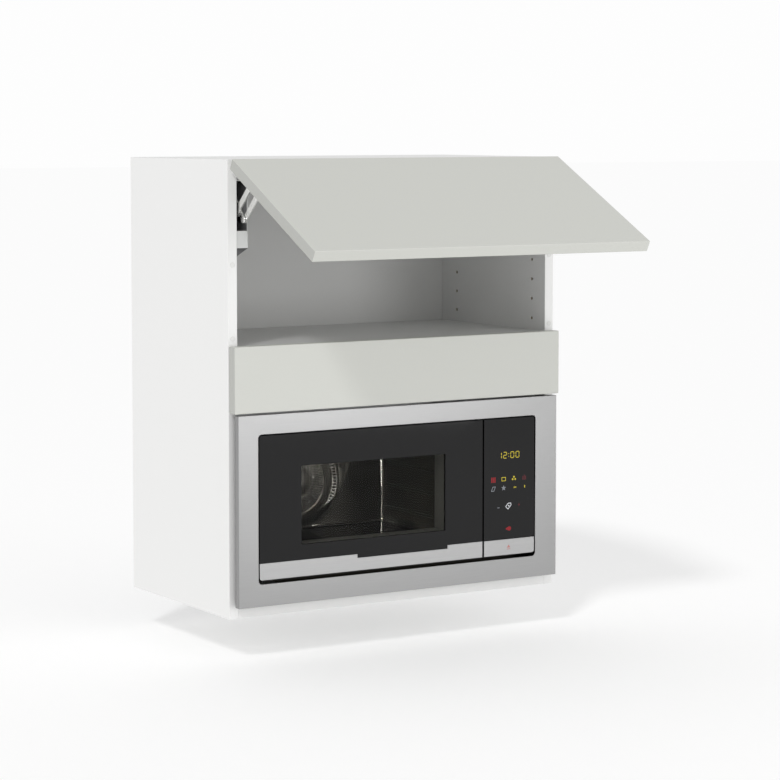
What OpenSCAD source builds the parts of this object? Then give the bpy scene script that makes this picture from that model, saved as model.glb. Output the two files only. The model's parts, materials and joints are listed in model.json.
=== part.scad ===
// Lift up wall cabinet with a built-in combination microwave oven.
// Millimetres. X runs from left to right, Y from the front to the wall and Z up.
// Pieces are drawn from the middle of the carcass's lower front edge, and then moved
// so that the origin is the middle of the wall rail's screw line, on the wall.

/* [Carcass] */
// Outside width of the carcass
body_w = 600; // [590:1:640]
// Outside height of the carcass
body_h = 700; // [690:1:740]
// Depth of the carcass, from its front edges to the wall
body_d = 330; // [322:1:350]
// Thickness of the sides, top, bottom and shelf
panel_t = 16; // [15:1:19]
// Height of the fixed shelf's underside above the base
shelf_z = 400; // [396:1:406]
// Thickness of the back panel
back_t = 8; // [5:1:10]
// Space behind the back panel for the wall rail
back_space = 14; // [13.5:0.5:18]
// Depth of the grooves that hold the back panel
groove_depth = 6; // [4:0.5:8]
// Play of the back panel in its grooves
groove_play = 0.2; // [0.1:0.05:0.5]
// Margin of the carcass left round the ventilation cut-out in the back panel
vent_margin = 50; // [45:1:70]

/* [Carcass joints] */
// Diameter of the wooden dowels
dowel_d = 8; // [6:0.5:9]
// Length of the wooden dowels
dowel_l = 30; // [24:1:34]
// Depth of a dowel's hole in the sides
dowel_sink = 12; // [10:0.5:13]
// Distance of the dowels from the front and rear edges
dowel_edge = 60; // [50:1:80]
// Radial and end play of a dowel in its hole
dowel_play = 0.05; // [0.02:0.01:0.2]

/* [Shelf pin holes] */
// Diameter of a shelf pin hole
pin_hole_d = 5; // [3:0.5:6]
// Depth of a shelf pin hole
pin_hole_depth = 12; // [8:0.5:13]
// Pitch of the holes in a row
pin_pitch = 32; // [25:1:32]
// Holes in a row
pin_count = 4; // [2:1:4]
// Distance of the front row from the front edge
pin_row_front = 37; // [30:1:45]
// Distance between the two rows
pin_row_gap = 224; // [192:1:232]
// Height of the lowest hole above the shelf's top
pin_first = 20; // [16:1:40]

/* [Fronts] */
// Thickness of the flap and of the fascia strip
front_t = 18; // [16:0.5:20]
// Gap between the carcass and the fronts behind them
front_gap = 1; // [0.8:0.1:2]
// How far the fronts stop short of the carcass's outside
front_reveal = 1; // [0.5:0.5:3]
// Gap between the flap and the strip
front_joint = 3; // [2:0.5:5]
// Height of the fascia strip
strip_h = 102.3; // [96:0.1:106]
// How far the strip stands above the shelf's top
strip_over = 2; // [0:0.5:4]
// Width of a steel angle behind the strip
angle_w = 30; // [20:1:50]
// Leg length of a steel angle behind the strip
angle_leg = 44; // [30:1:60]
// Thickness of a steel angle
angle_t = 2; // [1.5:0.5:3]
// Diameter of a soft bumper
bumper_d = 8; // [6:0.5:10]
// Thickness of a soft bumper
bumper_t = 0.7; // [0.4:0.05:0.7]
// Distance of the lower bumper above the flap's lower edge
bumper_up = 8; // [6:1:20]
// Distance between the two bumpers of a side
bumper_gap = 112; // [80:1:160]

/* [Flap motion] */
// How far the flap is open as drawn, in degrees
flap_open = 62.5; // [0:0.5:107]
// Distance of the flap's turning line from its inner face
axis_in = 13.6; // [13.2:0.1:14.4]
// Distance of the flap's turning line below its top edge
axis_drop = 3; // [2:0.1:3.5]

/* [Lift mechanism] */
// Width of a lift housing, across the cabinet
lift_w = 20; // [19:0.5:24]
// Depth of a lift housing, from front to rear
lift_l = 176; // [170:1:190]
// Height of a lift housing
lift_h = 116; // [114:1:122]
// Height of the closed nose under the front opening
lift_nose = 39; // [34:0.5:39]
// Height of the slope under the housing
lift_slope = 13; // [8:0.5:20]
// Distance of the housing's top below the carcass's top
lift_drop = 31; // [29:0.5:32]
// Distance of the housing behind the carcass's front edge
lift_back = 2; // [1.5:0.5:4]
// Wall of the cover
lift_wall = 1.5; // [1:0.1:2]
// Thickness of the base plate
base_t = 1.5; // [1:0.1:2]
// Thickness of a lever, link or bracket plate
lever_t = 2.5; // [2:0.1:2.7]
// Gap between neighbouring plates
lever_gap = 0.5; // [0.4:0.05:0.6]
// Half the width of a lever or link
lever_r = 5; // [4.5:0.1:5.5]
// Radius of a pivot pin
pivot_r = 2.5; // [2:0.1:3]
// Radial play of a running pivot
pivot_play = 0.05; // [0.02:0.01:0.08]
// Radial play of a pivot that closes a loop of links
loop_play = 0.3; // [0.2:0.05:0.5]
// Distance of the main lever's pivot behind the front edge
lever_back = 30; // [28:0.5:32]
// Distance of the main lever's pivot below the carcass's top
lever_drop = 45; // [43:0.5:47]
// Distance of the guide lever's pivot behind the main lever's
guide_back = 20; // [18:0.5:24]
// Distance of the guide lever's pivot above the main lever's
guide_up = 2; // [0:0.5:3]
// Reach of the bracket's holes from the flap's inner face
bracket_reach = 9.5; // [9:0.1:10]
// Distance of the bracket's upper hole below the turning line
bracket_high = 36; // [35:0.5:38]
// Distance of the bracket's lower hole below the turning line
bracket_low = 55; // [52:0.5:57]
// Width of the bracket's foot
foot_w = 32; // [28:1:40]
// Thickness of the bracket's foot
foot_t = 2; // [1.5:0.1:2.2]
// How far the foot reaches on the narrow side of the bracket's plate
foot_side = 3; // [2:0.5:4]
// How far the foot reaches above the bracket's plate
foot_over = 6; // [2:0.5:8]
// Radius of the holes of the bracket's and the housing's screws
screw_r = 2; // [1.6:0.1:2.2]
// Height of a screw's head
screw_head = 0.8; // [0.6:0.1:1]
// Play of a screw in its hole, and of its tip before the hole's end
screw_play = 0.1; // [0.05:0.01:0.2]
// Length of the bracket's screws
bracket_screw_l = 12; // [8:0.5:14]
// Distance across between the bracket's two screws
bracket_screw_gap = 17.5; // [14:0.5:17.5]
// Length of the housing's screws
lift_screw_l = 12; // [8:0.5:13]
// Distance of the first lower screw behind the housing's front
lift_screw_front = 18; // [14:1:22]
// Distance of the first upper screw behind the housing's front
lift_screw_mid = 78; // [70:1:90]
// Distance of the rear screws before the housing's rear
lift_screw_rear = 16; // [12:1:18]
// Height of the lower screws above the housing's bottom
lift_screw_low = 32; // [30:1:36]
// Distance of the upper screws below the housing's top
lift_screw_high = 12; // [9:1:14]
// Diameter of the springs in a housing
spring_d = 14; // [12:0.5:15]
// Diameter of the spring wire
spring_wire = 2; // [1.5:0.1:2.5]
// Length of the springs as drawn
spring_l = 58; // [50:1:60]
// Distance between the two springs of a housing
spring_pitch = 30; // [24:1:34]
// Distance of the springs' middle before the housing's rear
spring_in = 48; // [44:1:52]
// Height of the springs' seat above the housing's slope
seat_up = 6; // [4:0.5:8]
// Thickness of the springs' seat
seat_t = 2; // [1.5:0.1:3]
// Height of a spring carriage
carriage_h = 10; // [6:0.5:12]

/* [Wall fixing] */
// Distance of the rail's screw line below the carcass's top
rail_drop = 55; // [52:1:60]
// Distance of the rail's ends from the sides
rail_in = 4; // [2:1:30]
// Height of the rail's flat strip
rail_h = 30; // [26:1:36]
// Thickness of the rail's steel
rail_t = 2; // [1.5:0.1:2.5]
// How far the rail's lip stands off the wall
rail_stand = 8; // [7:0.5:9]
// Height of the rail's lip
rail_lip = 14; // [12:0.5:14]
// Distance of the rail's screw holes from its ends
rail_hole_in = 30; // [20:1:80]
// Diameter of the rail's screw holes
rail_hole_d = 6; // [4:0.5:8]
// Width of a hanger body
hanger_w = 38; // [34:1:44]
// Height of a hanger body
hanger_h = 54; // [48:1:60]
// Depth of a hanger body
hanger_d = 18; // [16:0.5:22]
// Wall of a hanger body before the hook
hanger_wall = 3; // [2:0.5:4]
// Gap between a hanger body and the panels beside and above it
hanger_gap = 0.5; // [0.3:0.1:1]
// Thickness of a hanger hook
hook_t = 4; // [3:0.5:5]
// Height of a hook's arm
hook_h = 7; // [5:0.5:8]
// Play of a hook on the rail's lip
hook_gap = 0.3; // [0.2:0.05:0.4]
// Space round a hook's arm in the back panel
hook_room = 4; // [2:0.5:4]

/* [Microwave front] */
// How far the trim frame stops short of the carcass's outside
trim_reveal = 6; // [4:0.5:8]
// Height of the trim frame's lower edge above the bottom panel
trim_lift = 2.5; // [1:0.5:4]
// Gap between the trim frame and the strip above it
trim_joint = 2.7; // [2:0.1:4]
// How far the trim frame stands in front of the carcass
trim_front = 20; // [18:0.5:22]
// Depth of the trim frame's rim
trim_rim = 12; // [10:0.5:14]
// Thickness of the trim's sheet steel
trim_t = 1; // [0.8:0.1:1.2]
// Width of the trim left of the glass
trim_left = 36.5; // [34:0.5:38]
// Width of the trim right of the glass
trim_right = 43.3; // [40:0.1:46]
// Height of the trim above the glass
trim_top = 32.3; // [31:0.1:35]
// Height of the trim below the glass
trim_bottom = 36.2; // [34:0.1:38]
// Radius of the glass's outer corners
glass_r = 4; // [2:0.5:8]
// Thickness of the outer glass
glass_t = 4; // [3:0.5:4]
// How far the glass lies behind the trim's face
glass_in = 0.5; // [0:0.1:1]
// Gap round the glass
glass_gap = 2; // [1.5:0.1:3]
// Gap below the steel bar
bar_gap = 4.3; // [3:0.1:5]
// Height of the steel bar and of the button
bar_h = 25.5; // [22:0.5:30]
// Thickness of the steel on the bar and the button
bar_t = 1.2; // [0.8:0.1:1.5]
// Distance of the finger notch from the door's right edge
notch_right = 66.5; // [40:0.5:100]
// Depth of the finger notch in the steel bar
notch_h = 5.9; // [3:0.1:10]
// Distance of the finger notch from the door's left edge
notch_x = 173.5; // [150:0.5:190]
// Width of the control panel
control_w = 97.7; // [94:0.1:104]
// Gap between the door and the control panel
door_gap = 3; // [2:0.5:4]
// Distance of the window from the door's left edge
window_x = 73.5; // [68:0.5:80]
// Distance of the window from the door's right edge
window_right = 71; // [64:1:90]
// Distance of the window above the glass area's lower edge
window_z = 53.8; // [48:0.1:58]
// Distance of the window below the glass area's upper edge
window_top = 49.7; // [46:0.1:60]
// Distance of the display from the control panel's left edge
display_x = 32; // [24:0.5:40]
// Height of the display above the glass area's lower edge
display_z = 158; // [140:1:180]
// Width of the display
display_w = 39; // [30:1:44]
// Height of the display
display_h = 16; // [12:0.5:20]
// Depth of the display module
display_d = 9; // [6:0.5:12]
// Thickness of the control board
board_t = 1.6; // [1:0.1:2]
// Distance of the control board from the control panel's edges
board_in = 8; // [5:0.5:12]
// Distance of the button's plunger from the button's sides
plunger_in = 8; // [6:0.5:12]
// Distance of the plunger from the button's upper and lower edges
plunger_up = 4; // [3:0.5:6]
// Length of the plunger behind the button
plunger_l = 20; // [16:0.5:24]
// Distance of the spacer frame from the trim's edges
spacer_in = 4.5; // [2:0.5:6]
// Space round the door and the controls inside the spacer frame
spacer_room = 6; // [5:0.5:8]

/* [Microwave door] */
// Depth of the door, from the outer glass to its inner face
door_d = 36.5; // [34:0.5:38]
// Distance of the hinge pins from the door's left edge
hinge_x = 7; // [6.5:0.1:7.5]
// Distance of the hinge pins behind the glass's face
hinge_y = 6.8; // [6.5:0.1:7.2]
// Radius of a hinge pin
hinge_r = 2.4; // [2:0.1:2.5]
// Length of a hinge pin beyond the door
hinge_l = 9; // [8:0.5:10]
// Thickness of a hinge plate
hinge_t = 2; // [1.5:0.1:2.5]
// Width of a hinge plate
hinge_w = 32; // [24:1:36]
// Distance of a hinge plate's left and front edges beyond the pin
hinge_edge = 5; // [4:0.5:7]
// Wall of the door's plastic frame
frame_t = 2; // [1.5:0.1:3]
// Thickness of the door's steel screen
screen_t = 1.2; // [0.8:0.1:1.5]
// Thickness of the door's inner glass
inner_glass_t = 3; // [2.5:0.1:3.2]
// Border of the inner glass round the window
inner_border = 30; // [20:1:36]
// Thickness of a latch hook
latch_t = 2.4; // [2:0.1:2.6]
// Reach of a latch hook behind the door
latch_reach = 26; // [20:0.5:30]
// Height of a latch hook
latch_h = 14; // [10:0.5:18]
// Length of a latch hook's nose
latch_nose = 6; // [4:0.5:8]
// How far a latch hook's nose reaches down
latch_drop = 3; // [2:0.5:4]
// Space round a latch hook in its slot
latch_room = 2; // [1.5:0.5:4]
// Width of a latch hook's slot
latch_slot_w = 10; // [8:0.5:12]
// Wall of the latch housing
latch_wall = 5; // [3:0.5:6]
// Distance between the two latch hooks
latch_gap = 114; // [90:1:120]
// Height of the latch hooks' middle above the steel bar
latch_up = 80; // [74:1:90]
// Travel of the door button
button_travel = 2.5; // [1.5:0.1:2.5]

/* [Microwave body] */
// Gap between the casing and the niche's sides
case_gap = 8; // [6:0.5:12]
// Height of the feet pressed into the casing's floor
foot_h = 2; // [1:0.5:3]
// Radius of the casing's feet
case_foot_r = 8; // [6:0.5:12]
// Distance of the casing's feet from its walls
case_foot_in = 40; // [30:1:60]
// Width of a ventilation slot in the casing's rear
slot_w = 4; // [3:0.5:5]
// Height of a ventilation slot in the casing's rear
slot_h = 40; // [30:1:50]
// Pitch of the ventilation slots
slot_pitch = 10; // [8:0.5:12]
// Ventilation slots in the casing's rear
slot_count = 7; // [3:1:8]
// Distance of the ventilation slots from the casing's right side
slot_side = 20; // [16:1:30]
// Distance of the ventilation slots below the casing's top
slot_top = 30; // [24:1:40]
// Distance of the casing's top below the trim's top
case_drop = 5; // [3:0.5:8]
// Gap between the casing and the back panel
case_back = 2; // [1:0.5:4]
// Thickness of the casing's sheet
case_t = 1; // [0.8:0.1:1.5]
// Gap between the door's inner face and the front plate
seal_gap = 2; // [1:0.5:3]
// Distance of the front plate's hatch from the control panel's edges
hatch_in = 5; // [4.5:0.5:8]
// Thickness of the front plate
plate_t = 1.5; // [1:0.1:2]
// Thickness of the cavity's steel
cavity_t = 1; // [0.8:0.1:1.5]
// Distance of the cavity from the casing's left side
cavity_left = 86; // [84:1:92]
// Width of the bay for the electrics, right of the cavity
bay_w = 130; // [128:1:136]
// Height of the cavity
cavity_h = 180; // [172:1:184]
// Height of the cavity's floor above the casing's floor
cavity_z = 62; // [58:1:66]
// Space behind the cavity for the fan chamber
cavity_behind = 26; // [24:0.5:32]
// Height of a shelf guide above the glass floor
guide_first = 27; // [20:1:34]
// Distance between the shelf guides
guide_pitch = 38; // [30:1:44]
// Radius of a shelf guide
guide_r = 2.2; // [1.5:0.1:3]
// Shelf guides on a side of the cavity
guide_count = 3; // [1:1:3]
// Distance of a shelf guide's ends from the cavity's front and rear
guide_in = 22; // [16:1:40]
// Thickness of the glass-ceramic floor
floor_t = 4; // [3:0.5:6]
// Radius of the fan chamber
chamber_r = 76; // [72:1:77]
// Depth of the fan chamber
chamber_d = 16; // [14:0.5:18]
// Height of the fan's centre above the cavity's floor
fan_z = 78; // [76:1:84]
// Thickness of the fan cover
cover_t = 1; // [0.8:0.1:1.2]
// Margin of the fan cover round the fan chamber
cover_over = 2; // [1:0.5:2]
// Radius of a hole in the fan cover
cover_hole_r = 3; // [2:0.1:3.4]
// Distance between the rings of holes in the fan cover
cover_ring = 12; // [10:0.5:14]
// Radius of the convection fan
fan_r = 54; // [44:1:58]
// Blades on the convection fan
fan_blades = 10; // [6:1:16]
// Gap before and behind the convection fan in its chamber
fan_clear = 3; // [2:0.5:4]
// Radius of the fan's shaft
shaft_r = 3; // [2:0.5:4]
// Radius of the ring heater
heater_r = 66; // [63:1:68]
// Radius of the heater's tube
heater_tube = 3.3; // [2.5:0.1:4]
// Radius of the convection motor
motor_r = 28; // [24:1:34]
// Length of the convection motor
motor_l = 20; // [16:1:21]
// How far the convection motor reaches into the casing
motor_in = 3; // [2:0.5:4]
// Depth of the motor's bore for the shaft
motor_bore = 8; // [6:0.5:10]
// Side of the square cooling fan
cooler_w = 90; // [80:1:100]
// Depth of the cooling fan
cooler_d = 24; // [20:1:28]
// Distance of the cooling fan from the casing's right side
cooler_side = 4; // [2:0.5:8]
// Distance of the cooling fan from the casing's top
cooler_top = 6; // [3:0.5:8]
// Radius of the cooling fan's hub
cooler_hub_r = 12; // [8:0.5:16]
// Blades on the cooling fan
cooler_blades = 7; // [3:1:9]
// Thickness of a fan blade
blade_t = 1.4; // [1:0.1:2]
// Radius of the cord gland
gland_r = 8; // [6:0.5:10]
// Thickness of the cord gland's two collars
gland_t = 3.5; // [2:0.5:4]
// Distance of the cord gland from the casing's right side
gland_side = 70; // [60:1:90]
// Height of the cord gland above the casing's floor
gland_up = 50; // [40:1:60]

/* [Microwave electrics] */
// Width of the transformer's core
core_w = 96; // [80:1:100]
// Depth of the transformer's core
core_d = 62; // [50:1:66]
// Height of the transformer's core
core_h = 76; // [60:1:80]
// How far the windings stand out of the core
coil_out = 12; // [8:0.5:14]
// Distance of the windings from the core's edges
coil_in = 14; // [10:0.5:18]
// Distance of the transformer behind the front plate
core_front = 36; // [34:1:44]
// Gap between the transformer and the casing's right side
core_side = 12; // [6:0.5:16]
// Radius of the capacitor's rounded sides
capacitor_r = 16; // [12:0.5:18]
// Width of the capacitor
capacitor_w = 66; // [50:1:76]
// Height of the capacitor
capacitor_h = 64; // [50:1:80]
// Gap between the capacitor and the transformer
capacitor_gap = 8; // [5:0.5:12]
// Depth of the waveguide, from the cavity to the magnetron
wave_d = 26; // [20:0.5:28]
// Height of the waveguide
wave_h = 104; // [90:1:108]
// Height of the waveguide's lower edge above the cavity's floor
wave_up = 48; // [40:1:56]
// Distance of the waveguide behind the front plate
wave_front = 110; // [104:1:120]
// Length of the waveguide and the magnetron, from front to rear
wave_l = 90; // [80:1:96]
// Height of the magnetron's cooling fins
fin_h = 80; // [70:1:90]
// Pitch of the cooling fins
fin_pitch = 9; // [7:0.5:10]
// Thickness of a cooling fin
fin_t = 3; // [2:0.1:3.5]
// Cooling fins on the magnetron
fin_count = 5; // [3:1:5]
// Radius of the magnetron's tube
tube_r = 19; // [16:0.5:22]
// Depth of the lamp's housing
lamp_d = 22; // [16:0.5:24]
// Width and height of the lamp's housing
lamp_w = 36; // [30:1:40]
// Distance of the lamp behind the front plate
lamp_front = 60; // [56:1:66]
// Height of the lamp above the cavity's floor
lamp_up = 110; // [100:1:120]

/* [Hidden] */
$fn = 64;

// Carcass
inner_w = body_w - 2 * panel_t;
side_x = inner_w / 2;
back_y = body_d - back_space - back_t;
shelf_top = shelf_z + panel_t;
slack = 0.1;
through = 1;

// Fronts
front_w = body_w - 2 * front_reveal;
strip_top = shelf_top + strip_over;
strip_z = strip_top - strip_h;
flap_z = strip_top + front_joint;
flap_top = body_h - front_reveal;

// Linkage, as points (y, z): the levers turn as the flap does, and the links keep their direction
flap_axis = [axis_in * -1 - front_gap, flap_top - axis_drop];
lever_root = [lever_back, body_h - lever_drop];
guide_root = lever_root + [guide_back, guide_up];
high_arm = [axis_in + bracket_reach, -bracket_high];
low_arm = [axis_in + bracket_reach, -bracket_low];
function turned(v, a) = [v[0] * cos(a) + v[1] * sin(a), v[1] * cos(a) - v[0] * sin(a)];
lever_tip = lever_root + turned(low_arm, flap_open);
lever_mid = lever_root + turned(high_arm, flap_open);
guide_tip = guide_root + turned(low_arm, flap_open);
ear_low = flap_axis + turned(low_arm, flap_open);
ear_high = flap_axis + turned(high_arm, flap_open);
lift_head = 0.6;
layer_first = base_t + lift_head + slack;
function layer(i) = layer_first + i * (lever_t + lever_gap);
pin_end = 0.3;

// Lift housing
lift_top = body_h - lift_drop;
lift_z = lift_top - lift_h;
spring_z = lift_z + lift_slope + seat_up;
spring_y = lift_back + lift_l - spring_in;
carriage_w = spring_pitch + spring_d;
screw_low = lift_z + lift_screw_low;
screw_high = lift_top - lift_screw_high;
screw_rear = lift_back + lift_l - lift_screw_rear;
lift_screw_at = [
    [lift_back + lift_screw_front, screw_low], [lift_back + lift_screw_mid, screw_high],
    [screw_rear, screw_low], [screw_rear, screw_high]
];

// Wall rail
rail_z = body_h - rail_drop;
rail_l = inner_w - 2 * rail_in;
lip_z = rail_z + rail_h / 2;
hook_z = lip_z - rail_t + rail_lip + hook_gap;
hanger_top = body_h - panel_t - hanger_gap;

// Microwave front
trim_w = body_w - 2 * trim_reveal;
trim_z = panel_t + trim_lift;
trim_h = strip_z - trim_joint - trim_z;
glass_x = trim_left - trim_w / 2;
glass_x2 = trim_w / 2 - trim_right;
glass_z = trim_z + trim_bottom;
glass_z2 = trim_z + trim_h - trim_top;
glass_y = glass_in - trim_front;
door_x2 = glass_x2 - control_w - door_gap;
bar_z = glass_z + bar_gap;
bar_z2 = bar_z + bar_h;
control_x = glass_x2 - control_w;
door_w = door_x2 - glass_x;
part_gap = 0.3;
hinge_at = [glass_x + hinge_x, glass_y + hinge_y];
frame_inset = 1.5;
door_back = glass_y + door_d;
window_at = [glass_x + window_x, glass_z + window_z];
window_w = door_w - window_x - window_right;
window_h = glass_z2 - glass_z - window_z - window_top;
notch_w = door_w - notch_x - notch_right;

// Microwave body
case_w = inner_w - 2 * case_gap;
case_z = panel_t + foot_h;
case_h = trim_z + trim_h - case_drop - case_z;
case_d = back_y - case_back;
plate_y = door_back + seal_gap;
cavity_x = cavity_left - case_w / 2;
cavity_w = case_w - cavity_left - cavity_t - bay_w - case_t;
cavity_floor = case_z + cavity_z;
cavity_back = case_d - cavity_behind;
fan_at = [cavity_x + cavity_w / 2, cavity_floor + fan_z];
latch_mid = bar_z2 + latch_up;
bay_x = cavity_x + cavity_w + cavity_t;
latch_x = bay_x + 1;
latch_slot_x = latch_x - part_gap;
latch_slot = [-latch_h / 2 - latch_drop - latch_room, latch_h / 2 + latch_room];
seam = 0.05;

// Colours
melamine = [0.93, 0.93, 0.925];
lacquer = [0.82, 0.825, 0.80];
steel = [0.68, 0.68, 0.68];
nickel = [0.75, 0.75, 0.74];
black = [0.12, 0.12, 0.12];
dark_glass = [0.17, 0.17, 0.17];
grey_plastic = [0.72, 0.72, 0.71];
white_plastic = [0.9, 0.9, 0.88];

// A box between two corners
module block(a, b) {
    translate(a) cube(b - a);
}

// A flat outline given as (y, z), raised along X
module plate_x(x, t) {
    translate([x, 0, 0]) rotate([90, 0, 90]) linear_extrude(t) children();
}

// A flat outline given as (x, z), raised along Y
module plate_y(y, t) {
    translate([0, y + t, 0]) rotate([90, 0, 0]) linear_extrude(t) children();
}

// A rod between two heights of one axis
module rod_x(x, x2, at, r) {
    translate([x, at[0], at[1]]) rotate([0, 90, 0]) cylinder(h = x2 - x, r = r);
}
module rod_y(y, y2, at, r) {
    translate([at[0], y, at[1]]) rotate([-90, 0, 0]) cylinder(h = y2 - y, r = r);
}
module rod_z(z, z2, at, r) {
    translate([at[0], at[1], z]) cylinder(h = z2 - z, r = r);
}

// A flat bar with round ends
module bar(p, q, r) {
    run = q - p;
    translate(p) circle(r);
    translate(q) circle(r);
    translate(p) rotate(atan2(run[1], run[0])) translate([0, -r]) square([norm(run), 2 * r]);
}

// A rectangle whose four corners have their own radii: lower left, lower right, upper right, upper left
module panel_shape(a, b, radii) {
    corners = [a, [b[0], a[1]], b, [a[0], b[1]]];
    inward = [[1, 1], [-1, 1], [-1, -1], [1, -1]];
    difference() {
        translate(a) square(b - a);
        for (i = [0:3]) if (radii[i] > 0) {
            middle = corners[i] + radii[i] * inward[i] / 2;
            translate(middle) square(radii[i], center = true);
        }
    }
    for (i = [0:3]) if (radii[i] > 0) translate(corners[i] + radii[i] * inward[i]) circle(radii[i]);
}

// What is drawn on the left, with X from the side's inner face, put on the left or the right
module on_side(right) {
    mirror([right ? 1 : 0, 0, 0]) translate([-side_x, 0, 0]) children();
}
module both_sides() {
    for (right = [false, true]) on_side(right) children();
}

// What is drawn closed, turned about the flap's line
module opened() {
    translate([0, flap_axis[0], flap_axis[1]]) rotate([-flap_open, 0, 0])
        translate([0, -flap_axis[0], -flap_axis[1]]) children();
}

// ---- Carcass ----

// Heights of the middles of the three panels that the dowels join to the sides
joint_z = [panel_t / 2, shelf_z + panel_t / 2, body_h - panel_t / 2];

module dowel_holes(x, x2) {
    for (z = joint_z, y = [dowel_edge, body_d - dowel_edge])
        rod_x(x, x2, [y, z], dowel_d / 2 + dowel_play);
}

// The back panel's tongue and its play, for cutting grooves
module back_groove() {
    block([-side_x - groove_depth, back_y - groove_play, panel_t - groove_depth],
          [side_x + groove_depth, back_y + back_t + groove_play, body_h - panel_t + groove_depth]);
}

module side_panel() {
    difference() {
        block([-body_w / 2, 0, 0], [-side_x, body_d, body_h]);
        back_groove();
        dowel_holes(-side_x - dowel_sink, -side_x + through);
        for (i = [0:pin_count - 1], y = [pin_row_front, pin_row_front + pin_row_gap])
            rod_x(-side_x - pin_hole_depth, -side_x + through,
                  [y, shelf_top + pin_first + i * pin_pitch], pin_hole_d / 2);
        for (at = lift_screw_at)
            rod_x(-side_x - lift_screw_l, -side_x + through, at, screw_r);
    }
}
module side_left() color(melamine) side_panel();
module side_right() color(melamine) mirror([1, 0, 0]) side_panel();

module cross_panel(z, depth) {
    hole_l = dowel_l - dowel_sink + 2 * dowel_play;
    difference() {
        block([-side_x, 0, z], [side_x, depth, z + panel_t]);
        back_groove();
        for (right = [false, true]) on_side(right) dowel_holes(-through, hole_l);
    }
}
module top_panel() color(melamine) cross_panel(body_h - panel_t, body_d);
module bottom_panel() color(melamine) cross_panel(0, body_d);
module fixed_shelf() {
    color(melamine) difference() {
        cross_panel(shelf_z, body_d);
        block([-body_w, back_y - groove_play, shelf_z - through],
              [body_w, body_d + through, shelf_top + through]);
    }
}

module back_panel() {
    edge = groove_depth - groove_play;
    color(melamine) difference() {
        block([-side_x - edge, back_y, panel_t - edge],
              [side_x + edge, back_y + back_t, body_h - panel_t + edge]);
        block([vent_margin - side_x, back_y - through, panel_t + vent_margin / 2],
              [side_x - vent_margin / 2, back_y + back_t + through, shelf_z - vent_margin / 2]);
        both_sides() block([hanger_w / 2 - hook_t, back_y - through, hook_z - hook_room],
                           [hanger_w / 2 + hook_t, back_y + back_t + through, hook_z + hook_h + hook_room]);
    }
}

module carcass_dowels() {
    reach = [dowel_play - dowel_sink, dowel_l - dowel_sink];
    color("burlywood") both_sides() for (z = joint_z, y = [dowel_edge, body_d - dowel_edge])
        if (z != joint_z[1] || y < back_y - dowel_d) rod_x(reach[0], reach[1], [y, z], dowel_d / 2);
}

module fascia_strip() {
    color(lacquer) block([-front_w / 2, -front_gap - front_t, strip_z], [front_w / 2, -front_gap, strip_top]);
}

module fascia_angles() {
    color(steel) for (x = [-front_w / 3, 0, front_w / 3]) translate([x - angle_w / 2, 0, 0]) {
        block([0, -front_gap, shelf_z - angle_leg], [angle_w, angle_t - front_gap, shelf_z]);
        block([0, -front_gap, shelf_z - angle_t], [angle_w, angle_leg, shelf_z]);
    }
}

module front_bumpers() {
    color(white_plastic) for (x = [-1, 1], z = [flap_z + bumper_up, flap_z + bumper_up + bumper_gap])
        rod_y(-bumper_t, 0, [x * (side_x + panel_t / 2), z], bumper_d / 2);
}

// ---- Wall fixing ----

module wall_rail() {
    lip_y = body_d - rail_stand - rail_t;
    color(steel) difference() {
        union() {
            block([-rail_l / 2, body_d - rail_t, rail_z - rail_h / 2], [rail_l / 2, body_d, lip_z]);
            block([-rail_l / 2, lip_y, lip_z - rail_t], [rail_l / 2, body_d, lip_z]);
            block([-rail_l / 2, lip_y, lip_z - rail_t],
                  [rail_l / 2, lip_y + rail_t, lip_z - rail_t + rail_lip]);
        }
        for (x = [-1, 1]) rod_y(body_d - rail_t - through, body_d + through,
                                [x * (rail_l / 2 - rail_hole_in), rail_z], rail_hole_d / 2);
    }
}

// The hook's outline as (y, z): an arm through the back panel and a nose behind the rail's lip
module hook_shape() {
    front = back_y - hanger_d + hanger_wall + 1;
    nose = [body_d - rail_stand + hook_gap, body_d - rail_t - hook_gap];
    tip_z = lip_z + rail_t;
    polygon([
        [front, hook_z], [nose[0], hook_z], [nose[0], tip_z],
        [nose[1], tip_z], [nose[1], hook_z + hook_h], [front, hook_z + hook_h]
    ]);
}
module hanger_hooks() {
    color(steel) both_sides() plate_x((hanger_w - hook_t) / 2, hook_t) hook_shape();
}
module hanger_bodies() {
    color(white_plastic) both_sides() difference() {
        block([hanger_gap, back_y - hanger_d, hanger_top - hanger_h], [hanger_w, back_y - slack, hanger_top]);
        block([(hanger_w - hook_t) / 2 - slack, back_y - hanger_d + hanger_wall, hook_z - hook_room],
              [(hanger_w + hook_t) / 2 + slack, back_y + through, hanger_top + through]);
    }
}

// ---- Lift mechanism ----

// The base plate with the springs' seat and the two riveted pins that the levers turn on
module lift_base() {
    difference() {
        union() {
            block([0, lift_back + 2 * lift_wall, spring_z - 2 * seat_t],
                  [base_t, lift_back + lift_l - 2 * lift_wall, lift_top - lift_wall - slack]);
            block([0, spring_y - carriage_w / 2, spring_z - seat_t],
                  [lift_w - lift_wall - 1, spring_y + carriage_w / 2, spring_z]);
            rod_x(0, layer(1) + lever_t + pin_end, lever_root, pivot_r);
            rod_x(0, layer(3) + lever_t + pin_end, guide_root, pivot_r);
        }
        for (at = lift_screw_at) rod_x(-through, base_t + through, at, screw_r + screw_play);
    }
}
module lift_bases() color(nickel) both_sides() lift_base();

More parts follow.
